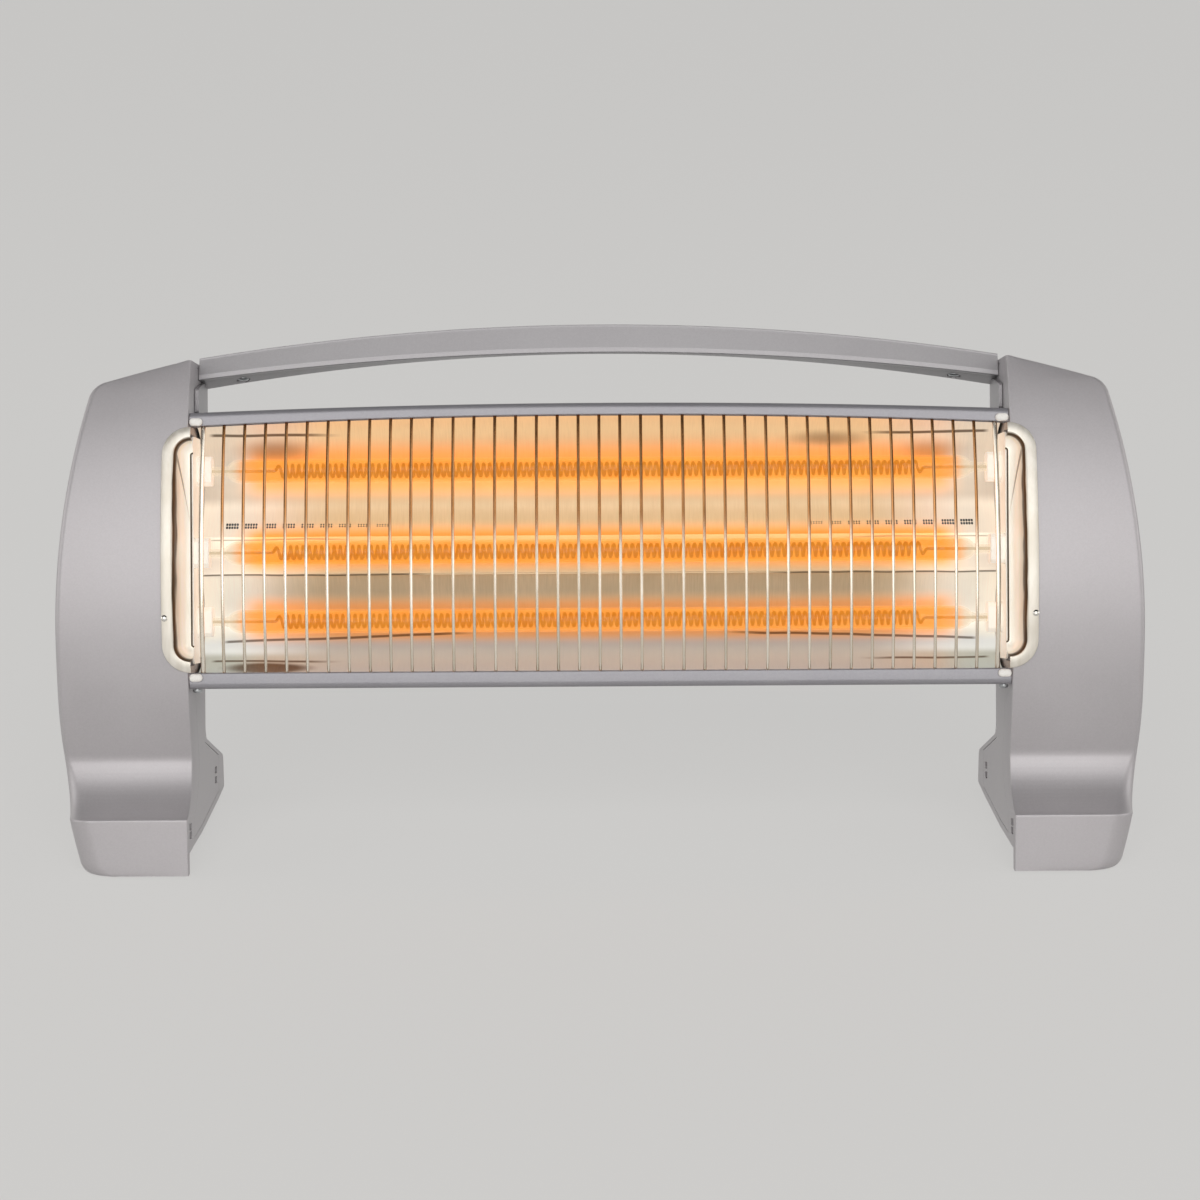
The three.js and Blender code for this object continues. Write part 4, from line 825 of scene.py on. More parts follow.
# Painted shade lines along the sheet's creases: height, rise, thickness (mm), where each starts and ends (m), and how
# dark it is.
CREASE_SHADE_LINES = (
    (85.6, 0, 0.9, 0.13, 0.197, 0.85),
    (13.8, 0, 0.6, 0.08, 0.203, 0.8),
    (31.9, 0, 0.5, 0.12, 0.198, 0.5),
    (-20.6, 0.03, 0.9, 0.06, 0.192, 0.75),
    (-30.4, 0, 0.7, 0.13, 0.197, 0.8),
)
# Dark patches: across (m), height (mm), half width and half height (m), how dark each is, where its soft edge starts.
# The one low on the left is a painted reflection of the end parts.
DARK_PATCHES = (
    (-0.167, 78.5, 0.024, 0.007, 0.5, 0.1),
    (-0.17, -33.6, 0.025, 0.0028, 0.9, 0.55),
    (0.118, 83, 0.026, 0.005, 0.5, 0.1),
    (0.172, 77, 0.02, 0.007, 0.35, 0.1),
)


def trough(edge, strip, steps=36):
    side = math.copysign(1, edge[1] - strip[1])
    pulls = (
        Vector(edge),
        Vector((STRIP_DEPTH + TROUGH_LIP, edge[1] - side * TROUGH_LIP_RISE)),
        Vector((STRIP_DEPTH + TROUGH_DEPTH, strip[1] + side * TROUGH_RISE)),
        Vector(strip),
    )
    line = []
    for i in range(steps + 1):
        t = i / steps
        shares = ((1 - t) ** 3, 3 * t * (1 - t) ** 2, 3 * t * t * (1 - t), t**3)
        line.append(sum((p * s for p, s in zip(pulls, shares)), Vector((0, 0))))
    return line


def reflector_line(x):
    high = (TOP_RAIL_FRONT + RAIL_DEPTH + GAP, rail_lower(x) + REFLECTOR_LAP)
    low = (BOTTOM_RAIL_FRONT + RAIL_DEPTH + GAP, OPENING_BOTTOM - REFLECTOR_LAP)
    upper, lower = (STRIP_DEPTH, STRIP_TOP), (STRIP_DEPTH, STRIP_BOTTOM)
    hem = [
        (STRIP_DEPTH, STRIP_BOTTOM + HEM_HEIGHT),
        (STRIP_DEPTH + HEM_DEPTH, STRIP_BOTTOM + HEM_HEIGHT * 0.8),
        (STRIP_DEPTH + HEM_DEPTH, STRIP_BOTTOM + HEM_HEIGHT * 0.2),
    ]
    return trough(high, upper) + [Vector(p) for p in hem] + trough(low, lower)[::-1]


def mirror_sheet():
    """Rolled stainless steel: brushed streaks 0.7 mm wide across the length and slow waves from the bending, under
    painted light: a cream glow for the studio's reflection in the troughs, a greyer lower trough, the orange that
    each tube throws on the sheet behind it, painted shade bands under the top and middle tubes, painted shade lines
    along the creases, and dark patches."""
    made = brushed_metal("Rolled stainless reflector", "#c4b59e", "#b3a48c", 0.4, 0.0022, 0.00001, (3, 0.2, 0.2))
    faded, mixed = made.faded, made.mixed
    x, y, z = made.axes(made.place)
    up_face, aside = z * math.cos(LEAN) + y * math.sin(LEAN), abs(x)
    waved = up_face + (made.noise(0.04, 1) - 0.5) * 0.002

    def height_of(y, z):
        axis = FACE @ Vector((0, y, z))
        return axis.z * math.cos(LEAN) + axis.y * math.sin(LEAN)

    def glow(level, strength, lift, reach):
        height = height_of(TUBE_DEPTHS[level], TUBE_HEIGHTS[level]) + lift
        return faded(abs(up_face - height), GLOW_CORE, reach, strength, 0)

    # Painted shade: a dark line along a crease of the sheet.
    def line(height, rise, thick, first, last, strength):
        off = abs(waved - (height_of(TROUGH_DEPTH, height) + (0.2 - aside) * rise))
        ends = faded(aside, first, first + 0.025, 0, 1) * faded(aside, last, last + 0.004, 1, 0)
        return faded(off, thick * 0.0004, thick * 0.001, strength, 0) * ends

    # Darkens an oval patch of the sheet; the one on the lower lip is a painted reflection.
    def dent(across, height, half_wide, half_tall, strength, core):
        wide, tall = (x - across) / half_wide, (waved - height_of(TROUGH_DEPTH, height)) / half_tall
        return faded(made.maths("SQRT", wide**2 + tall**2), core, 1.1, strength, 0)

    front = made.attribute("front")
    # Painted light: an orange glow on the sheet round each tube, put into its colour and its emission.
    glowing = made.highest(
        glow("top", 0.92, 0.001, 0.019), glow("middle", 1.0, 0.002, 0.016), glow("bottom", 0.85, 0.001, 0.015)
    )
    painted_tube_glow = glowing * front * faded(aside, 0.174, 0.192, 1, 0)
    painted_shade_marks = made.highest(*[line(*terms) for terms in CREASE_SHADE_LINES], *[dent(*terms) for terms in DARK_PATCHES])
    # Painted light: emission that stands for the studio's cream reflection in the troughs, whiter towards the ends
    # and over and under the strip, and pale blue-grey low down.
    to_end = faded(aside, 0.13, 0.19, 0, 1)
    edge, trough_low = height_of(STRIP_DEPTH, STRIP_BOTTOM), height_of(TROUGH_DEPTH, -26)
    over_strip = faded(up_face, edge + 0.018, edge + 0.024, 0, 0.28)
    under_tubes = faded(up_face, edge - 0.034, edge - 0.028, 0.16, 0)
    middle_light = faded(up_face, edge, edge + 0.008, 0.12, 0.17) + over_strip + under_tubes
    end_light = faded(up_face, trough_low - 0.003, trough_low + 0.001, 0.16, 0.56)
    end_light = end_light * faded(up_face, edge + 0.034, edge + 0.042, 1, 0.68)
    light = middle_light + to_end * (end_light - middle_light) + painted_tube_glow * 0.36
    pale = mixed(to_end, "#ebdcb0", "#fbf4e8")
    pale = mixed(faded(up_face, edge - 0.036, edge - 0.03, 1, 0), pale, "#e4e8ee")
    # Painted reflection and painted shade in the base colour: a greyer lower trough, and brown bands just under the
    # top and middle tubes.
    low = mixed(faded(up_face, edge - 0.04, edge, 1, 0), made.colour(), "#a9b0aa")
    for height, half in ((57, 0.009), (18.5, 0.007)):
        away = abs(up_face - height_of(TROUGH_DEPTH, height))
        low = mixed(faded(away, half * 0.3, half, 0.6, 0), low, "#7d664c")
    made.set(
        {
            "Base Color": mixed(painted_shade_marks, mixed(painted_tube_glow * 0.5, low, "#cf9a50"), "#54442f"),
            "Emission Color": mixed(painted_tube_glow, pale, "#ff9124"),
            "Emission Strength": light * (front * (1 - painted_shade_marks)),
        }
    )
    made.relief(made.noise(0.03, 1), 0.5, 0.001)
    return made


def vented_reflector():
    """The bent sheet with nine small vents over the strip at each end, each of two rows of five punched holes."""
    made = spanned("reflector_sheet", lambda x: sheet_ring(x, reflector_line(x), REFLECTOR_SHEET), REFLECTOR_END, 60)
    punches = []
    for side in (-1, 1):
        for i in range(VENTS):
            wide, tall = HOLE_WIDE - WIDE_SHRINK * i, HOLE_TALL - TALL_SHRINK * i
            for column, row in product(range(-2, 3), (-HOLE_ROW, HOLE_ROW)):
                x = side * (VENT_FIRST - i * VENT_PITCH) + column * HOLE_PITCH
                z = STRIP_TOP + VENT_RISE + row * (1 - ROW_SHRINK * i)
                hole = rectangle(x - wide, z - tall, x + wide, z + tall, wide * 0.5, 2)
                punches.append(prism(hole, "y", STRIP_DEPTH - 4, STRIP_DEPTH + 20))
    combine(made, joined("punches", punches))
    front = made.data.attributes.new("front", "FLOAT", "POINT")
    for i, point in enumerate(made.data.vertices):
        front.data[i].value = 1 if point.normal.y < 0.05 else 0
    return made


seat(vented_reflector(), mirror_sheet(), "polished_steel", "reflector", angle=24)


# Rails: the top and bottom of the opening, 1 mm steel rolled into channels, powder coated darker than the casings.
# The top one is bowed; both are open towards the guard, whose bars sit inside them.

rail_paint = satin_paint("Powder coat on rolled steel", "#9a989d", "#949297", "#a09ea2", 0.3, 0.36)


def rail_ring(x, opened, closed, near):
    up = math.copysign(1, closed - opened)
    far = near + RAIL_DEPTH
    lip = RAIL_LIP_ROUND

    def curl(radius):
        turns = [math.pi / 2 * i / 8 for i in range(9)]
        rises = [(radius * math.cos(turn), radius * math.sin(turn)) for turn in turns]
        return [(x, near + RAIL_CURL - out, closed - up * (RAIL_CURL - rise)) for out, rise in rises]

    return [
        (x, near, opened + up * lip),
        *curl(RAIL_CURL),
        (x, far - 0.7, closed),
        (x, far - 0.2, closed - up * 0.2),
        (x, far, closed - up * 0.7),
        (x, far, opened),
        (x, far - RAIL_SHEET, opened),
        (x, far - RAIL_SHEET, closed - up * RAIL_SHEET),
        *curl(RAIL_CURL - RAIL_SHEET)[::-1],
        (x, near + RAIL_SHEET, opened + up * lip),
        (x, near + RAIL_SHEET - 0.25, opened),
        (x, near + 0.25, opened),
    ]


top_rail = spanned(
    "top_rail_channel", lambda x: rail_ring(x, rail_lower(x), rail_top(x), TOP_RAIL_FRONT), RAIL_END, 80
)
low = OPENING_BOTTOM - BOTTOM_RAIL_HEIGHT
bottom_rail = spanned(
    "bottom_rail_channel", lambda x: rail_ring(x, OPENING_BOTTOM, low, BOTTOM_RAIL_FRONT), RAIL_END, 20
)
seat(top_rail, rail_paint, "rail_paint", "top_rail")
seat(bottom_rail, rail_paint, "rail_paint", "bottom_rail")


# Wire guard: 39 upright wires of nickel-plated steel, 1.6 mm thick and bowed forward, the two end ones 2.4 mm.
# They are spot-welded to two flat bars that hide inside the rails.

WIRE_COUNT, WIRE_PITCH, WIRE_RADIUS, END_WIRE_RADIUS = 39, 10.5, 0.8, 1.2
GUARD_TOP_DEPTH, GUARD_MID_DEPTH, GUARD_BOTTOM_DEPTH = 13.4, 1.2, 7.6
BAR_HEIGHT, BAR_DEPTH, BAR_LIFT, BAR_END = 3, 2.6, 1, 202


class Group(Nodes):
    """A geometry group in the making: what it is given, and the keys of that in a modifier."""

    def __init__(self, name, inputs):
        super().__init__(bpy.data.node_groups.new(name, "GeometryNodeTree"))
        self.keys = {label: self.socket(label, "INPUT", kind) for label, kind in inputs.items()}
        self.socket("Geometry", "OUTPUT", "Geometry")
        given = self.add("NodeGroupInput").outputs
        self.given = {label: Term(self, given[label]) for label in inputs}

    def socket(self, label, way, kind):
        return self.tree.interface.new_socket(label, in_out=way, socket_type="NodeSocket" + kind).identifier

    def spot(self):
        return self.axes(self.out(0, "GeometryNodeInputPosition"))

    def point(self, **axes):
        return self.out(0, "ShaderNodeCombineXYZ", axes)

    def swept(self, curve, sides):
        """A round wire along a curve."""
        round_wire = {"Resolution": sides, "Radius": self.given["Wire radius"]}
        terms = {"Curve": curve, "Profile Curve": self.out("Curve", "GeometryNodeCurvePrimitiveCircle", round_wire)}
        return self.out("Mesh", "GeometryNodeCurveToMesh", {**terms, "Fill Caps": True})

    def copies(self, shape, points, **terms):
        made = self.out("Instances", "GeometryNodeInstanceOnPoints", {"Points": points, "Instance": shape, **terms})
        return self.out("Geometry", "GeometryNodeRealizeInstances", {"Geometry": made})

    def moved(self, shape, **terms):
        return self.out("Geometry", "GeometryNodeSetPosition", {"Geometry": shape, **terms})

    def close(self, shape, finish):
        """Gives what comes out its finish."""
        terms = {"Geometry": shape, "Material": finish.material}
        self.add("NodeGroupOutput", {0: self.out("Geometry", "GeometryNodeSetMaterial", terms)})
        return self


def bowed_wires(finish):
    """A row of bowed wires along x: a curve for one, copied at a pitch, its top lifted with the rail's bow."""
    points = dict.fromkeys(("Top", "Middle", "Bottom"), "Vector")
    lengths = dict.fromkeys(("Pitch", "Wire radius", "Bow", "Half length"), "Float")
    made = Group("Guard wires", {**points, "Count": "Int", **lengths})
    given = made.given
    ends = {"Start": given["Bottom"], "Middle": given["Middle"], "End": given["Top"]}
    curve = made.out("Curve", "GeometryNodeCurveQuadraticBezier", {"Resolution": 28, **ends})
    first = (given["Count"] - 1) * -0.5 * given["Pitch"]
    terms = {"Count": given["Count"], "Start Location": made.point(X=first), "Offset": made.point(X=given["Pitch"])}
    row = made.copies(made.swept(curve, 12), made.out("Mesh", "GeometryNodeMeshLine", terms))
    x, _, z = made.spot()
    top, bottom = (made.axes(given[end])[2] for end in ("Top", "Bottom"))
    across = x / given["Half length"]
    lift = (1.0 - across * across) * given["Bow"] * ((z - bottom) / (top - bottom))
    return made.close(made.moved(row, Offset=made.point(Z=lift)), finish)


def grown(name, group, values, points=((0, 0, 0),)):
    """What a geometry group makes from points and a set of values, as a plain mesh."""
    made = mesh_object(name, points, [])
    step = made.modifiers.new("made", "NODES")
    step.node_group = group.tree
    for label, value in values.items():
        step[group.keys[label]] = value
    return applied(made)


def tinted_wire():
    """Nickel-plated drawn wire: bright and faintly drawn lengthwise, with painted shade that darkens its upper half,
    except on the two end wires.
    """
    made = brushed_metal("Heat-tinted nickel on drawn wire", "#f0e8da", "#d4cab9", 0.2, 0.004, 0.00001, (1, 1, 0.1))
    # Painted shade: the wires turn brown over their upper half.
    shade_start, shade_full = (FACE @ Vector((0, 0, z)) for z in (15, 45))
    upper_share = made.faded(made.axes(made.place)[2], shade_start.z, shade_full.z, 0, 1)
    painted_upper_shade = upper_share * made.ranged(made.aside(), 0.192, 0.197, 1, 0)
    made.set({"Base Color": made.mixed(painted_upper_shade, made.colour(), "#b98f66", blend_type="MULTIPLY")})
    return made


bright_wire = tinted_wire()
wire_group = bowed_wires(bright_wire)
wire_top = Vector((0, GUARD_TOP_DEPTH, OPENING_TOP + BAR_LIFT + BAR_HEIGHT / 2))
wire_low = Vector((0, GUARD_BOTTOM_DEPTH, OPENING_BOTTOM - BAR_LIFT - BAR_HEIGHT / 2))
wire_mid = (wire_top + wire_low) / 2
wire_mid.y = 2 * GUARD_MID_DEPTH - wire_mid.y
bowing = {"Top": wire_top, "Middle": wire_mid, "Bottom": wire_low, "Bow": RAIL_LOWER_SAG, "Half length": CASING_INNER}
inner_row = {"Count": WIRE_COUNT - 2, "Pitch": WIRE_PITCH, "Wire radius": WIRE_RADIUS}
end_row = {"Count": 2, "Pitch": WIRE_PITCH * (WIRE_COUNT - 1), "Wire radius": END_WIRE_RADIUS}


def guard_bar(depth, low_edge, count):
    near, far = depth - BAR_DEPTH / 2, depth + BAR_DEPTH / 2

    def ring(x):
        z = low_edge(x)
        return [(x, p[0], p[1]) for p in rectangle(near, z, far, z + BAR_HEIGHT, 0.4, 2)]

    return spanned("bar", ring, BAR_END, count)


guard = joined(
    "wire_guard_wires",
    [
        grown("inner_wires", wire_group, {**bowing, **inner_row}),
        grown("end_wires", wire_group, {**bowing, **end_row}),
        guard_bar(GUARD_TOP_DEPTH, lambda x: rail_lower(x) + BAR_LIFT, 40),
        guard_bar(GUARD_BOTTOM_DEPTH, lambda x: OPENING_BOTTOM - BAR_LIFT - BAR_HEIGHT, 2),
    ],
)
seat(guard, bright_wire, "chrome_wire", "wire_guard")


# Bezels: polished cheeks at both ends of the opening, pressed from 1 mm bright stainless sheet.
# A flat rim laps the casing, a crease follows it and a hollow wall runs back to the element bracket.

BEZEL_RIM, BEZEL_SHEET, BEZEL_CREASE, BEZEL_STEP = 5.5, 1, 1.1, 2.3
BEZEL_BACK_DEPTH, BEZEL_BACK_INSET = 13.7, 13.3


def bezel_ring(x, z, out_x, out_z):
    """The pressed sheet's section where its outer edge passes a point, as a ring in space."""

    def rim(inset):
        return belly(z - out_z * inset) - GAP - BEZEL_SHEET

    foot = Vector((BEZEL_RIM + BEZEL_CREASE, rim(BEZEL_RIM + BEZEL_CREASE) + BEZEL_STEP))
    end = Vector((BEZEL_BACK_INSET, BEZEL_BACK_DEPTH))
    pull = Vector((foot.x + BEZEL_CREASE / 2, end.y - BEZEL_CREASE))
    shares = [i / 12 for i in range(13)]
    wall = [foot * (1 - t) ** 2 + pull * 2 * t * (1 - t) + end * t * t for t in shares]
    edge = [
        (0, rim(0) + 0.35),
        (0.12, rim(0) + 0.1),
        (0.4, rim(0.4)),
        (BEZEL_RIM * 0.5, rim(BEZEL_RIM * 0.5) - 0.12),
        (BEZEL_RIM - 0.5, rim(BEZEL_RIM - 0.5)),
        (BEZEL_RIM - 0.1, rim(BEZEL_RIM) + 0.15),
        (BEZEL_RIM + 0.25, rim(BEZEL_RIM) + 0.7),
    ]
    line = [Vector(p) for p in edge] + wall
    return [(x - out_x * p.x, p.y, z - out_z * p.x) for p in line + beside(line, -BEZEL_SHEET * 0.9)[::-1]]


def bezel_cheek():
    centre = BEZEL_OUTER - BEZEL_CORNER
    high, low = BEZEL_TOP - BEZEL_CORNER, BEZEL_BOTTOM + BEZEL_CORNER

    def corner(height, start):
        turns = [math.radians(start - 90 * i / 14) for i in range(15)]
        return [(centre + BEZEL_CORNER * math.cos(t), height + BEZEL_CORNER * math.sin(t), t) for t in turns]

    side = [(BEZEL_OUTER, z, 0) for z in spaced(high, low, 3)[1:-1]]
    rings = [bezel_ring(x, z, math.cos(t), math.sin(t)) for x, z, t in corner(high, 90) + side + corner(low, 0)]
    made = loft("right_bezel_cheek", rings)
    inset = made.data.attributes.new("inset", "FLOAT", "POINT")
    for i, point in enumerate(made.data.vertices):
        x, _, z = point.co
        past = max(z - high, low - z, 0)
        inset.data[i].value = BEZEL_OUTER - x if not past else BEZEL_CORNER - math.hypot(max(x - centre, 0), past)
    return made


def pressed_mirror():
    """Bright-polished pressed stainless sheet: slow waves of 20 mm from the press, faint polishing lines, brown lines
    of painted shade along the crease, along a fold that crosses the wall and along the back edge at the slit to the
    bracket, and a painted cream glow over the wall."""
    made = brushed_metal("Polished pressed stainless cheek", "#ebe5da", "#d9d1c3", 0.36, 0.003, 0.00001, (1, 1, 0.15))
    ranged, waves = made.ranged, made.noise(0.02, 1)
    made.relief(waves, 0.5, 0.0008)
    inset, height = made.attribute("inset"), made.axes(made.place)[2]

    def line(level, half):
        return made.faded(abs(inset - level), half * 0.5, half, 1, 0)

    # Painted shade: brown lines along the crease, a fold and the back edge.
    crease = line(ranged(waves, 0.3, 0.7, BEZEL_RIM + 0.55, BEZEL_RIM + 1.15), 0.85)
    fold = line(ranged(height, 0.172, 0.206, BEZEL_RIM + 6.5, BEZEL_RIM + 1, clamp=False), 0.4)
    fold = fold * ranged(height, 0.168, 0.19, 0, 0.6)
    painted_shade_marks = made.highest(crease, fold, line(BEZEL_BACK_INSET - 0.3, 0.7))
    # Painted light: a cream emission over the wall stands for a bright reflection of the studio.
    made.set(
        {
            "Metallic": 0.45,
            "Base Color": made.mixed(painted_shade_marks, made.colour(), "#4a3a29"),
            "Emission Color": "#f6f2e4",
            "Emission Strength": ranged(inset, BEZEL_RIM + 1, BEZEL_RIM + 3, 0, 0.42) * (1 - painted_shade_marks),
        }
    )
    return made


seat_both(bezel_cheek(), pressed_mirror(), "polished_steel", "bezel", angle=40)


# Rivets and clips: bright-plated steel dome rivets that hold the cheeks' rims to the casings,
# and four white oval clips that close the rails' ends over the guard; their white is a painted highlight.

CLIP_WIDTH, CLIP_HEIGHT, CLIP_THICKNESS = 6.7, 4, 1.6


def rivet():
    seat_depth = belly(RIVET_HEIGHT) - GAP - BEZEL_SHEET - GAP
    profile = [(0, -0.6), (0.5, -0.57), (0.9, -0.45), (1.3, -0.24), (1.6, 0), (0.7, 0.02), (0.7, WALL), (0, WALL)]
    return turned(profile, "y", (RIVET_X, seat_depth, RIVET_HEIGHT), 32, "right_rivet")


def clip(name, front_depth, low_edge):
    """An oval button with a domed face."""
    inner, high = RAIL_END - CLIP_WIDTH, low_edge + CLIP_HEIGHT
    rings = []
    for inset, depth in ((0.9, 0), (0.45, 0.12), (0.12, 0.4), (0, 0.8), (0, CLIP_THICKNESS)):
        sides = (inner + inset, low_edge + inset, RAIL_END - inset, high - inset)
        face = rectangle(*sides, CLIP_HEIGHT * 0.48 - inset, 8)
        rings.append([(p.x, front_depth - GAP - CLIP_THICKNESS + depth, p.y) for p in face])
    return loft(name, rings)


plated = brushed_metal("Zinc-plated pressed steel", "#b9bbbc", "#8f9294", 0.3, 0.003, 0.00002)
# Painted highlight: the clips are painted white to stand for the highlight on them.
clip_highlight_white = satin_paint("White enamel on pressed steel", "#f3efe9", "#ebe6df", "#fbf8f3", 0.0, 0.25)
rivet_steel = brushed_metal("Bright zinc on the cold-headed rivets", "#e9e6e0", "#cbc7be", 0.18, 0.0008, 0.00002)
seat_both(rivet(), rivet_steel, "plated_steel", "bezel_rivet")
for height, front_depth, low_edge in (
    ("top", TOP_RAIL_FRONT, OPENING_TOP + GAP),
    ("bottom", BOTTOM_RAIL_FRONT, OPENING_BOTTOM - GAP - CLIP_HEIGHT),
):
    seat_both(clip("right_clip_" + height + "_oval", front_depth, low_edge), clip_highlight_white, "chrome_wire", "clip_" + height)


# Element brackets and ceramic caps: bright-annealed plates at the reflector's ends, each with three windows,
# and the off-white steatite blocks, pressed and fired, that sit in them and hold the tubes' necks.


def softened_copy(node, name, width, steps=2):
    """A CAD node's mesh, merged and with its sharp edges broken by a small bevel."""
    double = copy_of(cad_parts[node], name)
    double.parent = None
    with opened(double) as shape:
        bmesh.ops.remove_doubles(shape, verts=shape.verts, dist=2e-6)
        bmesh.ops.dissolve_limit(shape, angle_limit=math.radians(1), verts=shape.verts, edges=shape.edges)
        sharp = [e for e in shape.edges if e.is_manifold and e.calc_face_angle(0) > math.radians(30)]
        terms = {"segments": steps, "profile": 0.5, "affect": "EDGES", "clamp_overlap": True}
        bmesh.ops.bevel(shape, geom=sharp, offset=width * SCALE, **terms)
    return double


def seat_copy(node, name, finish, slot, width, steps=2):
    """Seats such a copy in the node's place: it stands in the object's frame already."""
    seat(softened_copy(node, name, width, steps), finish, slot, node, turn=Matrix.Identity(4))


def fired_ceramic():
    """Unglazed steatite: off-white with faint grey specks of 0.4 mm and a dry, slightly rough skin, under a painted
    cream glow that lifts it out of the shade.
    """
    # Painted light: a cream emission on the steatite.
    skin = {"Roughness": 0.55, "IOR": 1.55, "Emission Color": "#fff6e8", "Emission Strength": 0.3}
    made = Finish("Fired steatite", skin)
    specks = made.noise(0.0008, 3)
    made.set({"Base Color": made.ramp(specks, (0.3, "#e6dfd2"), (0.5, "#fbf7ee"))})
    made.relief(specks, 0.3, 0.00006)
    return made


steatite = fired_ceramic()
bracket_sheet_with_painted_light = brushed_metal("Bright-annealed steel sheet", "#fbf8f2", "#efeae0", 0.45, 0.003, 0.00002)
# Painted light: a cream emission that lifts the brackets out of the shade at the reflector's ends.
bracket_sheet_with_painted_light.set({"Metallic": 0.3, "Emission Color": "#fff4e2", "Emission Strength": 0.28})
for side in ("left", "right"):
    seat_copy(side + "_element_bracket", side + "_bracket_plate", bracket_sheet_with_painted_light, "plated_steel", 0.15)
    for level in TUBE_HEIGHTS:
        node = side + "_ceramic_cap_" + level
        seat_copy(node, node + "_block", steatite, "ceramic", 0.5, 3)


# Quartz tubes: fused quartz, 12 mm across and 1 mm thick, necked down at both ends by flame, with a
# sealed-off tip where each was pumped empty. They are lit, so the whole wall glows orange.

TUBE_RADIUS, TUBE_WALL, TUBE_BODY, TUBE_NECK = 6, 1, 183, 203.5
NECK_RADIUS, NECK_BORE, SHOULDER = 2.2, 0.9, 8
NIB_PLACE, NIB_HEIGHT, NIB_RADIUS = -5.8, 1.6, 1.6


def tube(level):
    centre = (0, TUBE_DEPTHS[level], TUBE_HEIGHTS[level])
    bore = TUBE_RADIUS - TUBE_WALL

    def crown(radius, share):
        turn = math.pi / 2 * share
        return radius * math.cos(turn), TUBE_BODY + (SHOULDER - TUBE_RADIUS + radius) * math.sin(turn)

    outside = [crown(TUBE_RADIUS, i / 10) for i in range(8)] + [(NECK_RADIUS + 0.5, TUBE_BODY + SHOULDER - 0.2)]
    neck = [(NECK_RADIUS, TUBE_BODY + SHOULDER + 1), (NECK_RADIUS, TUBE_NECK), (NECK_BORE, TUBE_NECK)]
    inside = [(NECK_BORE, TUBE_BODY + SHOULDER - 1)] + [crown(bore, i / 8) for i in range(7, -1, -1)]
    half = outside + neck + inside
    loop = half + [(r, -d) for r, d in reversed(half)]
    made = turned(loop + [loop[0]], "x", centre, 40, "quartz_tube_" + level + "_glass")
    tip = [(0, -NIB_HEIGHT), (0.45, -NIB_HEIGHT * 0.92), (0.9, -NIB_HEIGHT * 0.6), (1.25, -0.3)]
    foot = [(NIB_RADIUS, 0.25), (NIB_RADIUS, 0.6), (0, 0.6)]
    nib = turned(tip + foot, "y", (NIB_PLACE, centre[1] - TUBE_RADIUS, centre[2]), 20)
    return combine(made, nib, "UNION")


def lit_quartz():
    """Fused quartz lit by the strand inside: clear and glossy, its wall filled with orange light that is
    a little uneven along the length."""
    wall = {"Base Color": "#6b3d12", "Roughness": 0.1, "IOR": 1.46, "Alpha": 0.3, "Emission Strength": 0.95}
    made = Finish("Fused quartz, lit", wall)
    lit = made.ramp(made.noise(0.02, 2, (1, 4, 4)), (0.35, "#ff9a32"), (0.65, "#ffa63c"))
    # Painted light: past the body, the shoulders and necks glow pale cream.
    made.set({"Emission Color": made.mixed(made.faded(made.aside(), 0.18, 0.188, 0, 1), lit, "#e6d8bb")})
    return made


quartz = lit_quartz()
for level in TUBE_HEIGHTS:
    seat(tube(level), quartz, "quartz_glass", "quartz_tube_" + level, angle=35)


# Filaments: a carbon-fibre strand wound into about a hundred turns in each tube, glowing orange.
# A short bend at each end brings it to the tube's axis, where it leaves through the neck.

COIL_TURNS, COIL_RADIUS, COIL_WIRE, COIL_HALF, COIL_LEAD, COIL_POINTS = 103.0, 3.2, 0.8, 162.5, 205.0, 2600


def wound_strand(finish):
    """One strand along x: straight leads, a bend at each end and even turns between."""
    lengths = dict.fromkeys(("Turns", "Coil radius", "Wire radius", "Coil half", "Lead half"), "Float")
    made = Group("Wound strand", {**lengths, "Points": "Int"})
    given, maths = made.given, made.maths
    ends = {"Start": made.point(X=given["Lead half"] * -1), "End": made.point(X=given["Lead half"])}
    line = made.out("Curve", "GeometryNodeCurvePrimitiveLine", ends)
    fine = made.out("Curve", "GeometryNodeResampleCurve", {"Curve": line, "Count": given["Points"]})
    x, most = made.spot()[0], given["Turns"] * math.pi
    turn = x / given["Coil half"] * most
    full = made.faded(abs(x) - given["Coil half"], 0.5, 5, 1, 0)
    even = maths("MINIMUM", maths("MAXIMUM", turn, most * -1), most)
    slowed = even + (turn - even) * 0.4
    y, z = (full * given["Coil radius"] * maths(wave, slowed) for wave in ("COSINE", "SINE"))
    wound = made.moved(fine, Position=made.point(X=x, Y=y, Z=z))
    crest = maths("SINE", slowed) ** 2 * full
    strand = made.out("Curve", "GeometryNodeSetCurveRadius", {"Curve": wound, "Radius": crest * 0.7 + 0.55})
    return made.close(made.swept(strand, 6), finish)


def glowing_strand():
    """Carbon-fibre strand at red heat: a matt dark base under an orange glow, with the strand's twist in it."""
    made = Finish("Glowing carbon strand", {"Base Color": "#3a1d08", "Roughness": 0.7, "Emission Strength": 1.0})
    twist = made.ramp(made.noise(0.002, 2), (0.35, "#8a4700"), (0.65, "#a35a04"))
    aside = made.aside()
    lead = made.mixed(made.faded(aside, 0.17, 0.178, 0, 1), twist, "#c97a22")
    # Painted light: the leads in the necks glow pale cream.
    made.set({"Emission Color": made.mixed(made.faded(aside, 0.184, 0.19, 0, 1), lead, "#b9a684")})
    return made


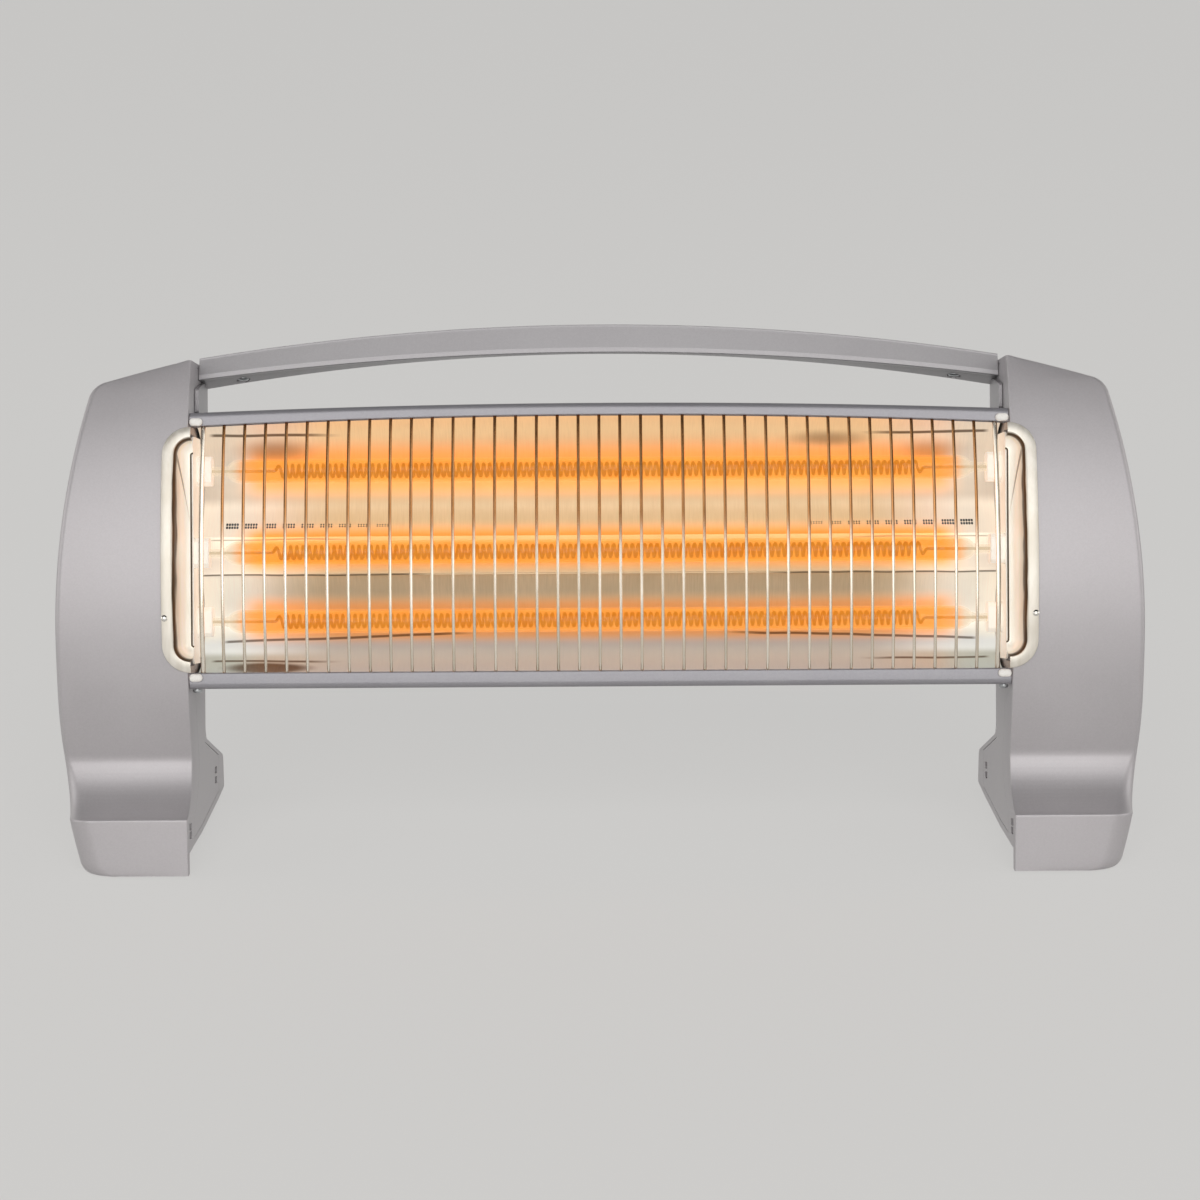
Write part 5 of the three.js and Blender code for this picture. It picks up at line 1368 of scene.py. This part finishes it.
carbon = glowing_strand()
strand_group = wound_strand(carbon)
winding = {
    "Turns": COIL_TURNS,
    "Coil radius": COIL_RADIUS,
    "Wire radius": COIL_WIRE,
    "Coil half": COIL_HALF,
    "Lead half": COIL_LEAD,
    "Points": COIL_POINTS,
}
for level in TUBE_HEIGHTS:
    strand = grown("filament_" + level + "_strand", strand_group, winding)
    strand.data.transform(Matrix.Translation((0, TUBE_DEPTHS[level], TUBE_HEIGHTS[level])))
    seat(strand, carbon, "glowing_coil", "filament_" + level, angle=60)


# Handle: two moulded ABS half shells under one flat arch, painted like the casings but set a shade darker, as painted
# shade for how its face turns up from the light.
# The rear half turns down at its ends into lugs that are fixed to the casings' inner sides.

HANDLE_TOP, HANDLE_FRONT, HANDLE_BACK, HANDLE_SPLIT, HANDLE_WALL = 142.35, 46, 66, 55, 2.2
HANDLE_TOP_SAG, HANDLE_FACE_HEIGHT, HANDLE_FACE_SAG = 16.4, 14.6, 13.2
HANDLE_HANG, HANDLE_REAR_DROP = 18.2, 13.7
HANDLE_CHAMFER, HANDLE_EDGE = 2.6, 1.3
LUG_THICKNESS, LUG_FRONT, LUG_BOTTOM = 1.8, 31.5, 97
HANDLE_SCREW_X, HANDLE_SCREW_DEPTH = 185, 3.4
SCREW_HEAD, SCREW_LENGTH = 3.2, 8
HANDLE_LEAN, HANDLE_BEVEL, HANDLE_END_RIM = 2.6, 1.1, 2.2


def handle_heights(x):
    share = (x / CASING_INNER) ** 2
    top = HANDLE_TOP - HANDLE_TOP_SAG * share
    face = HANDLE_TOP - HANDLE_FACE_HEIGHT - HANDLE_FACE_SAG * share
    rear = HANDLE_TOP - HANDLE_REAR_DROP - HANDLE_HANG * share
    return top, face, rear


def shell_ring(x, corners, bends):
    """Rounded outside and sharp inside. The wall thickens at the ends, so no hollow shows over the casings."""
    wall = HANDLE_WALL + (HANDLE_END_RIM if abs(x) > RAIL_END - 1 else 0)
    inside = beside([Vector(corner[:2]) for corner in bends], -wall)
    return [(x, p.x, p.y) for p in rounded(corners, 5, closed=False) + inside[::-1]]


def handle_front_ring(x):
    top, low, _ = handle_heights(x)
    corners = [
        (HANDLE_SPLIT, top, 0),
        (HANDLE_FRONT + HANDLE_LEAN, top, 0.3),
        (HANDLE_FRONT + HANDLE_LEAN - 0.1, top - HANDLE_BEVEL, 0.3),
        (HANDLE_FRONT + 0.1, low + HANDLE_CHAMFER, 0.4),
        (HANDLE_FRONT, low + 0.3, 0.25),
        (HANDLE_FRONT + 0.6, low, 0.25),
        (HANDLE_SPLIT, low, 0),
    ]
    return shell_ring(x, corners, [corners[0], corners[1], (HANDLE_FRONT, low), corners[-1]])


def handle_rear_ring(x):
    top, near, low = handle_heights(x)
    split = HANDLE_SPLIT + GAP
    corners = [
        (split, near, 0),
        (HANDLE_BACK, low, HANDLE_EDGE),
        (HANDLE_BACK, top, HANDLE_EDGE),
        (split, top, 0),
    ]
    return shell_ring(x, corners, corners)


def handle_lug(side):
    _, face, end = handle_heights(CASING_INNER)
    face -= HANDLE_WALL / 2
    plate = [
        (LUG_FRONT, LUG_BOTTOM, 1),
        (HANDLE_BACK, LUG_BOTTOM, 1),
        (HANDLE_BACK, end + HANDLE_WALL, 0),
        (HANDLE_SPLIT + 2 * GAP, face, 0),
        (HANDLE_FRONT, face - HANDLE_EDGE, 0),
        (LUG_FRONT, end - HANDLE_EDGE, 1),
    ]
    return prism(rounded(plate, 3), "x", *sorted((side * RAIL_END, side * RAIL_END - side * LUG_THICKNESS)))


handle_front = spanned("handle_front_shell", handle_front_ring, RAIL_END, 90)
handle_rear = spanned("handle_rear_shell", handle_rear_ring, RAIL_END, 90)
screw_seat_z = handle_heights(HANDLE_SCREW_X)[2]
screw_seat_y = (HANDLE_SPLIT + HANDLE_BACK) / 2
for side in (-1, 1):
    combine(handle_rear, handle_lug(side), "UNION")
    seat_point = (side * HANDLE_SCREW_X, screw_seat_y, screw_seat_z)
    combine(handle_rear, rod(SCREW_HEAD + GAP, -OVERRUN, HANDLE_SCREW_DEPTH, "z", seat_point))
# Painted shade: this paint is the casings' paint set darker, for how the handle's face turns up from the light.
handle_paint = satin_paint("Satin metallic paint on the ABS handle", "#a8a5a7", "#a3a0a2", "#adabac", 0.3, 0.4)
seat(handle_front, handle_paint, "handle_paint", "handle_front")
seat(handle_rear, handle_paint, "handle_paint", "handle_rear")


# Screws: zinc-plated pan-head screws with a cross recess, four in the rear covers, two up into the handle
# from below and two smaller ones up into the bottom rail.

HEAD_HEIGHT, HEAD_FLAT = 1.8, 0.35
CROSS_LENGTH, CROSS_WIDTH, CROSS_DEPTH, CROSS_TURN = 0.55, 0.12, 0.35, 20
RAIL_SCREW_X, RAIL_SCREW_HEAD, RAIL_SCREW_HEIGHT, RAIL_SCREW_SHANK = 203, 2.4, 1.8, 1.1


def pan_head(name, head, height, shank, length):
    """A screw along z with its head at the bottom, its underside at height zero."""
    profile = [(0, -height)]
    for i in range(9):
        turn = math.pi / 2 * i / 8
        profile.append((head * (HEAD_FLAT + (1 - HEAD_FLAT) * math.sin(turn)), -height * math.cos(turn) ** 0.6))
    profile += [(shank, 0), (shank, length - shank), (shank * 0.4, length), (0, length)]
    made = turned(profile, "z", (0, 0, 0), 32, name)
    long, wide = head * CROSS_LENGTH, head * CROSS_WIDTH
    for turn in (0, 90):
        blade = prism(rectangle(-long, -wide, long, wide), "z", -height - 1, -height * CROSS_DEPTH)
        blade.data.transform(Matrix.Rotation(math.radians(turn + CROSS_TURN), 4, "Z"))
        combine(made, blade)
    return made


def screws_at_points(finish):
    """Copies of a screw at the points of a mesh, all turned one way."""
    made = Group("Screws at points", {"Seats": "Geometry", "Screw": "Object", "Turn": "Rotation"})
    screw = made.out("Geometry", "GeometryNodeObjectInfo", {"Object": made.given["Screw"]})
    return made.close(made.copies(screw, made.given["Seats"], Rotation=made.given["Turn"]), finish)


pan = pan_head("pan_screw", SCREW_HEAD, HEAD_HEIGHT, SHANK, SCREW_LENGTH - GAP)
small_pan = pan_head("small_pan_screw", RAIL_SCREW_HEAD, RAIL_SCREW_HEIGHT, RAIL_SCREW_SHANK, 2 * RAIL_SHEET)
screw_group = screws_at_points(plated)
backwards = {"Screw": pan, "Turn": (math.radians(90), 0, 0)}
cover_seats = [(side * x, CASING_BACK + GAP, z) for side in (-1, 1) for x, z in COVER_SCREWS]
cover_screws = grown("cover_screws", screw_group, backwards, cover_seats)
upwards = {"Screw": pan, "Turn": (0, 0, 0)}
handle_seats = [(side * HANDLE_SCREW_X, screw_seat_y, screw_seat_z + HANDLE_SCREW_DEPTH - GAP) for side in (-1, 1)]
handle_screws = grown("handle_screws", screw_group, upwards, handle_seats)
rail_y, rail_z = BOTTOM_RAIL_FRONT + RAIL_DEPTH / 2, OPENING_BOTTOM - BOTTOM_RAIL_HEIGHT - GAP
rail_seats = [(side * RAIL_SCREW_X, rail_y, rail_z) for side in (-1, 1)]
rail_screws = grown("rail_screws", screw_group, {**upwards, "Screw": small_pan}, rail_seats)
discard(pan, small_pan)
cover_nodes = [side + "_cover_screw_" + height for side in ("left", "right") for height in ("top", "bottom")]
seat(cover_screws, plated, "plated_steel", *cover_nodes)
seat(handle_screws, plated, "plated_steel", "left_handle_screw", "right_handle_screw")
seat(rail_screws, plated, "plated_steel", "left_rail_screw", "right_rail_screw")


# Selector: a grey moulded knob with a fluted rim and a raised grip bar, sunk in the right casing's dish.
# A white line marks its pointer, and printed numbers 0 to 3 stand round the dish.

KNOB_RADIUS, KNOB_LENGTH, KNOB_FLUTES, FLUTE_DEPTH = 14, 9.2, 18, 0.7
SOCKET_RADIUS, SOCKET_DEPTH = 3.2, KNOB_LENGTH * 0.65
GRIP_WIDTH, GRIP_HEIGHT, GRIP_TIP, GRIP_TAIL = 4, 2, KNOB_RADIUS * 0.85, KNOB_RADIUS * 0.3
dish_floor = dish_centre.x - DISH_DEPTH


def knob_shape():
    body_top, start = KNOB_LENGTH - GRIP_HEIGHT, dish_floor + 2 * GAP
    shoulder = ((0, body_top - 1.4), (0.2, body_top - 0.7), (0.7, body_top - 0.2), (1.4, body_top))
    rings = []
    for inset, height in ((0.3, 0), (0, 0.4), *shoulder):
        ring = []
        for i in range(KNOB_FLUTES * 10):
            turn = 2 * math.pi * i / (KNOB_FLUTES * 10)
            flute = FLUTE_DEPTH * (0.5 + 0.5 * math.cos(turn * KNOB_FLUTES)) ** 1.5 * (1 if inset < 0.7 else 0.3)
            radius = KNOB_RADIUS - flute - inset
            ring.append((start + height, KNOB_DEPTH + radius * math.cos(turn), KNOB_HEIGHT + radius * math.sin(turn)))
        rings.append(ring)
    made = loft("selector_knob_shape", rings)
    half = GRIP_WIDTH / 2
    near, far, low, high = KNOB_DEPTH - half, KNOB_DEPTH + half, KNOB_HEIGHT - GRIP_TAIL, KNOB_HEIGHT + GRIP_TIP
    crown = ((0, body_top + 0.4), (0.15, KNOB_LENGTH - 0.4), (0.6, KNOB_LENGTH))
    bars = []
    for inset, height in ((-0.3, body_top - 1), (-0.1, body_top), *crown):
        plan = rectangle(near + inset, low + inset, far - inset, high - inset, half - inset - 0.2, 6)
        bars.append([(start + height, p.x, p.y) for p in plan])
    combine(made, loft("grip", bars), "UNION")
    centre = (0, KNOB_DEPTH, KNOB_HEIGHT)
    return combine(made, rod(SOCKET_RADIUS, dish_floor - OVERRUN, start + SOCKET_DEPTH, "x", centre, 24))


def moulded(name, colour, dark, roughness, grain=0.0008, relief=0.00005):
    """Unpainted moulded plastic: a spark-eroded texture about as wide as its grain, and small shifts of tone."""
    made = Finish(name, {"IOR": 1.5})
    texture = made.noise(grain, 3)
    tone = made.ramp(made.noise(0.015, 2), (0.3, dark), (0.7, colour))
    made.set({"Base Color": tone, "Roughness": made.ranged(texture, 0, 1, roughness - 0.08, roughness + 0.08)})
    made.relief(texture, 0.35, relief)
    return made


knob_plastic = moulded("Moulded grey ABS knob", "#8f8d8f", "#858386", 0.42)
print_white = moulded("White pad print", "#f2f1ee", "#e9e7e2", 0.5)
print_grey = moulded("Dark grey pad print", "#3d3c3f", "#353437", 0.5)
seat(knob_shape(), knob_plastic, "knob_plastic", "selector_knob", body="selector")
line_half, line_low, line_high = 0.5, KNOB_HEIGHT + 2, KNOB_HEIGHT + KNOB_RADIUS * 0.72
pointer_plan = rectangle(KNOB_DEPTH - line_half, line_low, KNOB_DEPTH + line_half, line_high, 0.4, 4)
knob_face = dish_floor + 2 * GAP + KNOB_LENGTH
pointer = prism(pointer_plan, "x", knob_face - 0.2, knob_face + 0.06)
pointer.name = "selector_pointer_line"
pointer.data.transform(FACE)
pointer.data.materials.append(print_white.material)
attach(soften(pointer), "selector")


def dial_number(text, turn, radius=20.5, size=4.6):
    """A printed number round the dish, a tenth of a millimetre proud of the casing's side."""
    words = bpy.data.curves.new("number", "FONT")
    words.body, words.size, words.extrude, words.resolution_u = text, size, 0.1, 3
    words.align_x, words.align_y = "CENTER", "CENTER"
    source = added("number", words)
    flat = shaped(source)
    discard(source)
    y = KNOB_DEPTH - radius * math.sin(turn)
    z = KNOB_HEIGHT + radius * math.cos(turn)
    for v in flat.vertices:
        height = z + v.co.y
        v.co = Vector((side_edge(height) + v.co.z, y + v.co.x, height))
    return added("number", flat)


numbers = joined("dial_numbers", [dial_number(str(n), math.radians(45 * (3 - n))) for n in range(4)])
numbers.data.transform(FACE)
numbers.data.materials.append(print_grey.material)
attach(numbers, "frame")


# Cable gland and pads: a black polyamide ring on the right casing's back, and pale silicone wedges under
# the toes and heels that carry the weight.

GLAND_FLANGE, GLAND_BORE, GLAND_LENGTH, GLAND_RIM = 9, 3.6, 9, 3.6


def gland():
    sleeve = [(GLAND_BORE + 0.4, -GLAND_LENGTH), (GLAND_RADIUS, -GLAND_LENGTH), (GLAND_RADIUS, GAP)]
    flange = [(GLAND_FLANGE - 0.3, GAP), (GLAND_FLANGE, GAP + 0.3)]
    dome = [(GLAND_FLANGE * out, GAP + GLAND_RIM * up) for out, up in ((1, 0.5), (0.93, 0.75), (0.8, 0.95), (0.7, 1))]
    rim = GAP + GLAND_RIM
    bore = [(GLAND_BORE + 0.8, rim), (GLAND_BORE + 0.2, rim - 0.3), (GLAND_BORE, rim - 1)]
    profile = sleeve + flange + dome + bore + [(GLAND_BORE, -GLAND_LENGTH + 0.4)]
    return turned(profile + [profile[0]], "y", (GLAND_X, CASING_BACK, GLAND_HEIGHT), 64, "cable_gland_ring")


black_polyamide = moulded("Black moulded polyamide", "#2a2a2c", "#222224", 0.48)
silicone = moulded("Pale moulded silicone", "#cdc8bf", "#c3beb4", 0.7, 0.0015, 0.0001)
seat(gland(), black_polyamide, "dark_plastic", "cable_gland")
for node in ("left_front_pad", "right_front_pad", "left_rear_pad", "right_rear_pad"):
    seat_copy(node, node + "_wedge", silicone, "pad_rubber", 0.5, 3)


# Parts inside the casings: switches, spring, spindle, cut-out and terminal block keep their solids' shapes.
# They are seen through the slots and from below only, and have the same finishes as above.

for node, finish in {
    "selector_spindle": plated,
    "rotary_switch": black_polyamide,
    "tip_switch_body": black_polyamide,
    "tip_plunger": black_polyamide,
    "tip_spring": plated,
    "terminal_block": steatite,
    "thermal_cutout": black_polyamide,
}.items():
    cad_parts[node].material_slots[0].material = finish.material


# Studio: a wide pale floor, a broad soft lamp above the camera, a weak one at either side, and light from the
# horizon that fades overhead, so that surfaces turned to the camera are brightest and those turned up darker.


def floor_finish():
    """Matt paper that looks pale to the camera and in reflections, and still takes the shadows."""
    made = Finish("Matt studio paper", {"Base Color": "#c4c3c1", "Roughness": 0.9, "Specular IOR Level": 0.1})
    rays = ("Is Camera Ray", "Is Glossy Ray")
    seen = made.highest(*[made.out(ray, "ShaderNodeLightPath") for ray in rays])
    even = made.out(0, "ShaderNodeEmission", {"Color": "#e9e8e6"})
    terms = {0: seen * 0.62, 1: Term(made, made.shader.outputs[0]), 2: even}
    made.feed(made.tree.nodes["Material Output"], {"Surface": made.out(0, "ShaderNodeMixShader", terms)})
    return made


FLOOR = 30
studio = mesh_object("studio_floor", [(x, y, 0) for x, y in rectangle(-FLOOR, -FLOOR, FLOOR, FLOOR)], [(0, 1, 2, 3)])
studio.data.materials.append(floor_finish().material)

CAMERA_DISTANCE, FRAME_WIDTH, SENSOR, CAMERA_ROLL = 1450, 600, 36, math.radians(-0.36)
camera_data = bpy.data.cameras.new("camera")
camera_data.sensor_width = SENSOR
camera_data.lens = SENSOR * CAMERA_DISTANCE / FRAME_WIDTH
camera = added("camera", camera_data)


def aimed(thing, spot, aim):
    """Puts a camera or a lamp at a spot and points it at another."""
    way = Vector(aim) - Vector(spot)
    thing.matrix_world = Matrix.Translation(spot) @ way.to_track_quat("-Z", "Y").to_matrix().to_4x4()


aimed(camera, FACE @ Vector((0, -CAMERA_DISTANCE, 0)), FACE @ Vector((0, 0, 0)))
camera.matrix_world @= Matrix.Rotation(CAMERA_ROLL, 4, "Z")
bpy.context.scene.camera = camera


def softbox(name, spot, width, height, power):
    data = bpy.data.lights.new(name, "AREA")
    data.shape, data.size, data.size_y, data.energy = "RECTANGLE", width, height, power
    aimed(added(name, data), spot, (0, 0, 0.1))


softbox("front softbox", (0, -4.6, 2.4), 5, 4.4, 123)
softbox("left fill", (-3.6, -0.5, 0.9), 2.6, 2.2, 15)
softbox("right fill", (3.6, -0.5, 0.9), 2.6, 2.2, 15)


def studio_world():
    """Light from all round that is bright up to 25 degrees above the horizon and dim overhead."""
    world = bpy.data.worlds.new("studio")
    world.use_nodes = True
    made = Nodes(world.node_tree)
    way = made.out("Generated", "ShaderNodeTexCoord")
    tone = made.ramp(made.axes(way)[2], (0.3, "#efedea"), (0.75, "#323337"))
    made.feed(world.node_tree.nodes["Background"], {"Color": tone})
    bpy.context.scene.world = world


studio_world()
bpy.context.scene.view_settings.view_transform = "Standard"
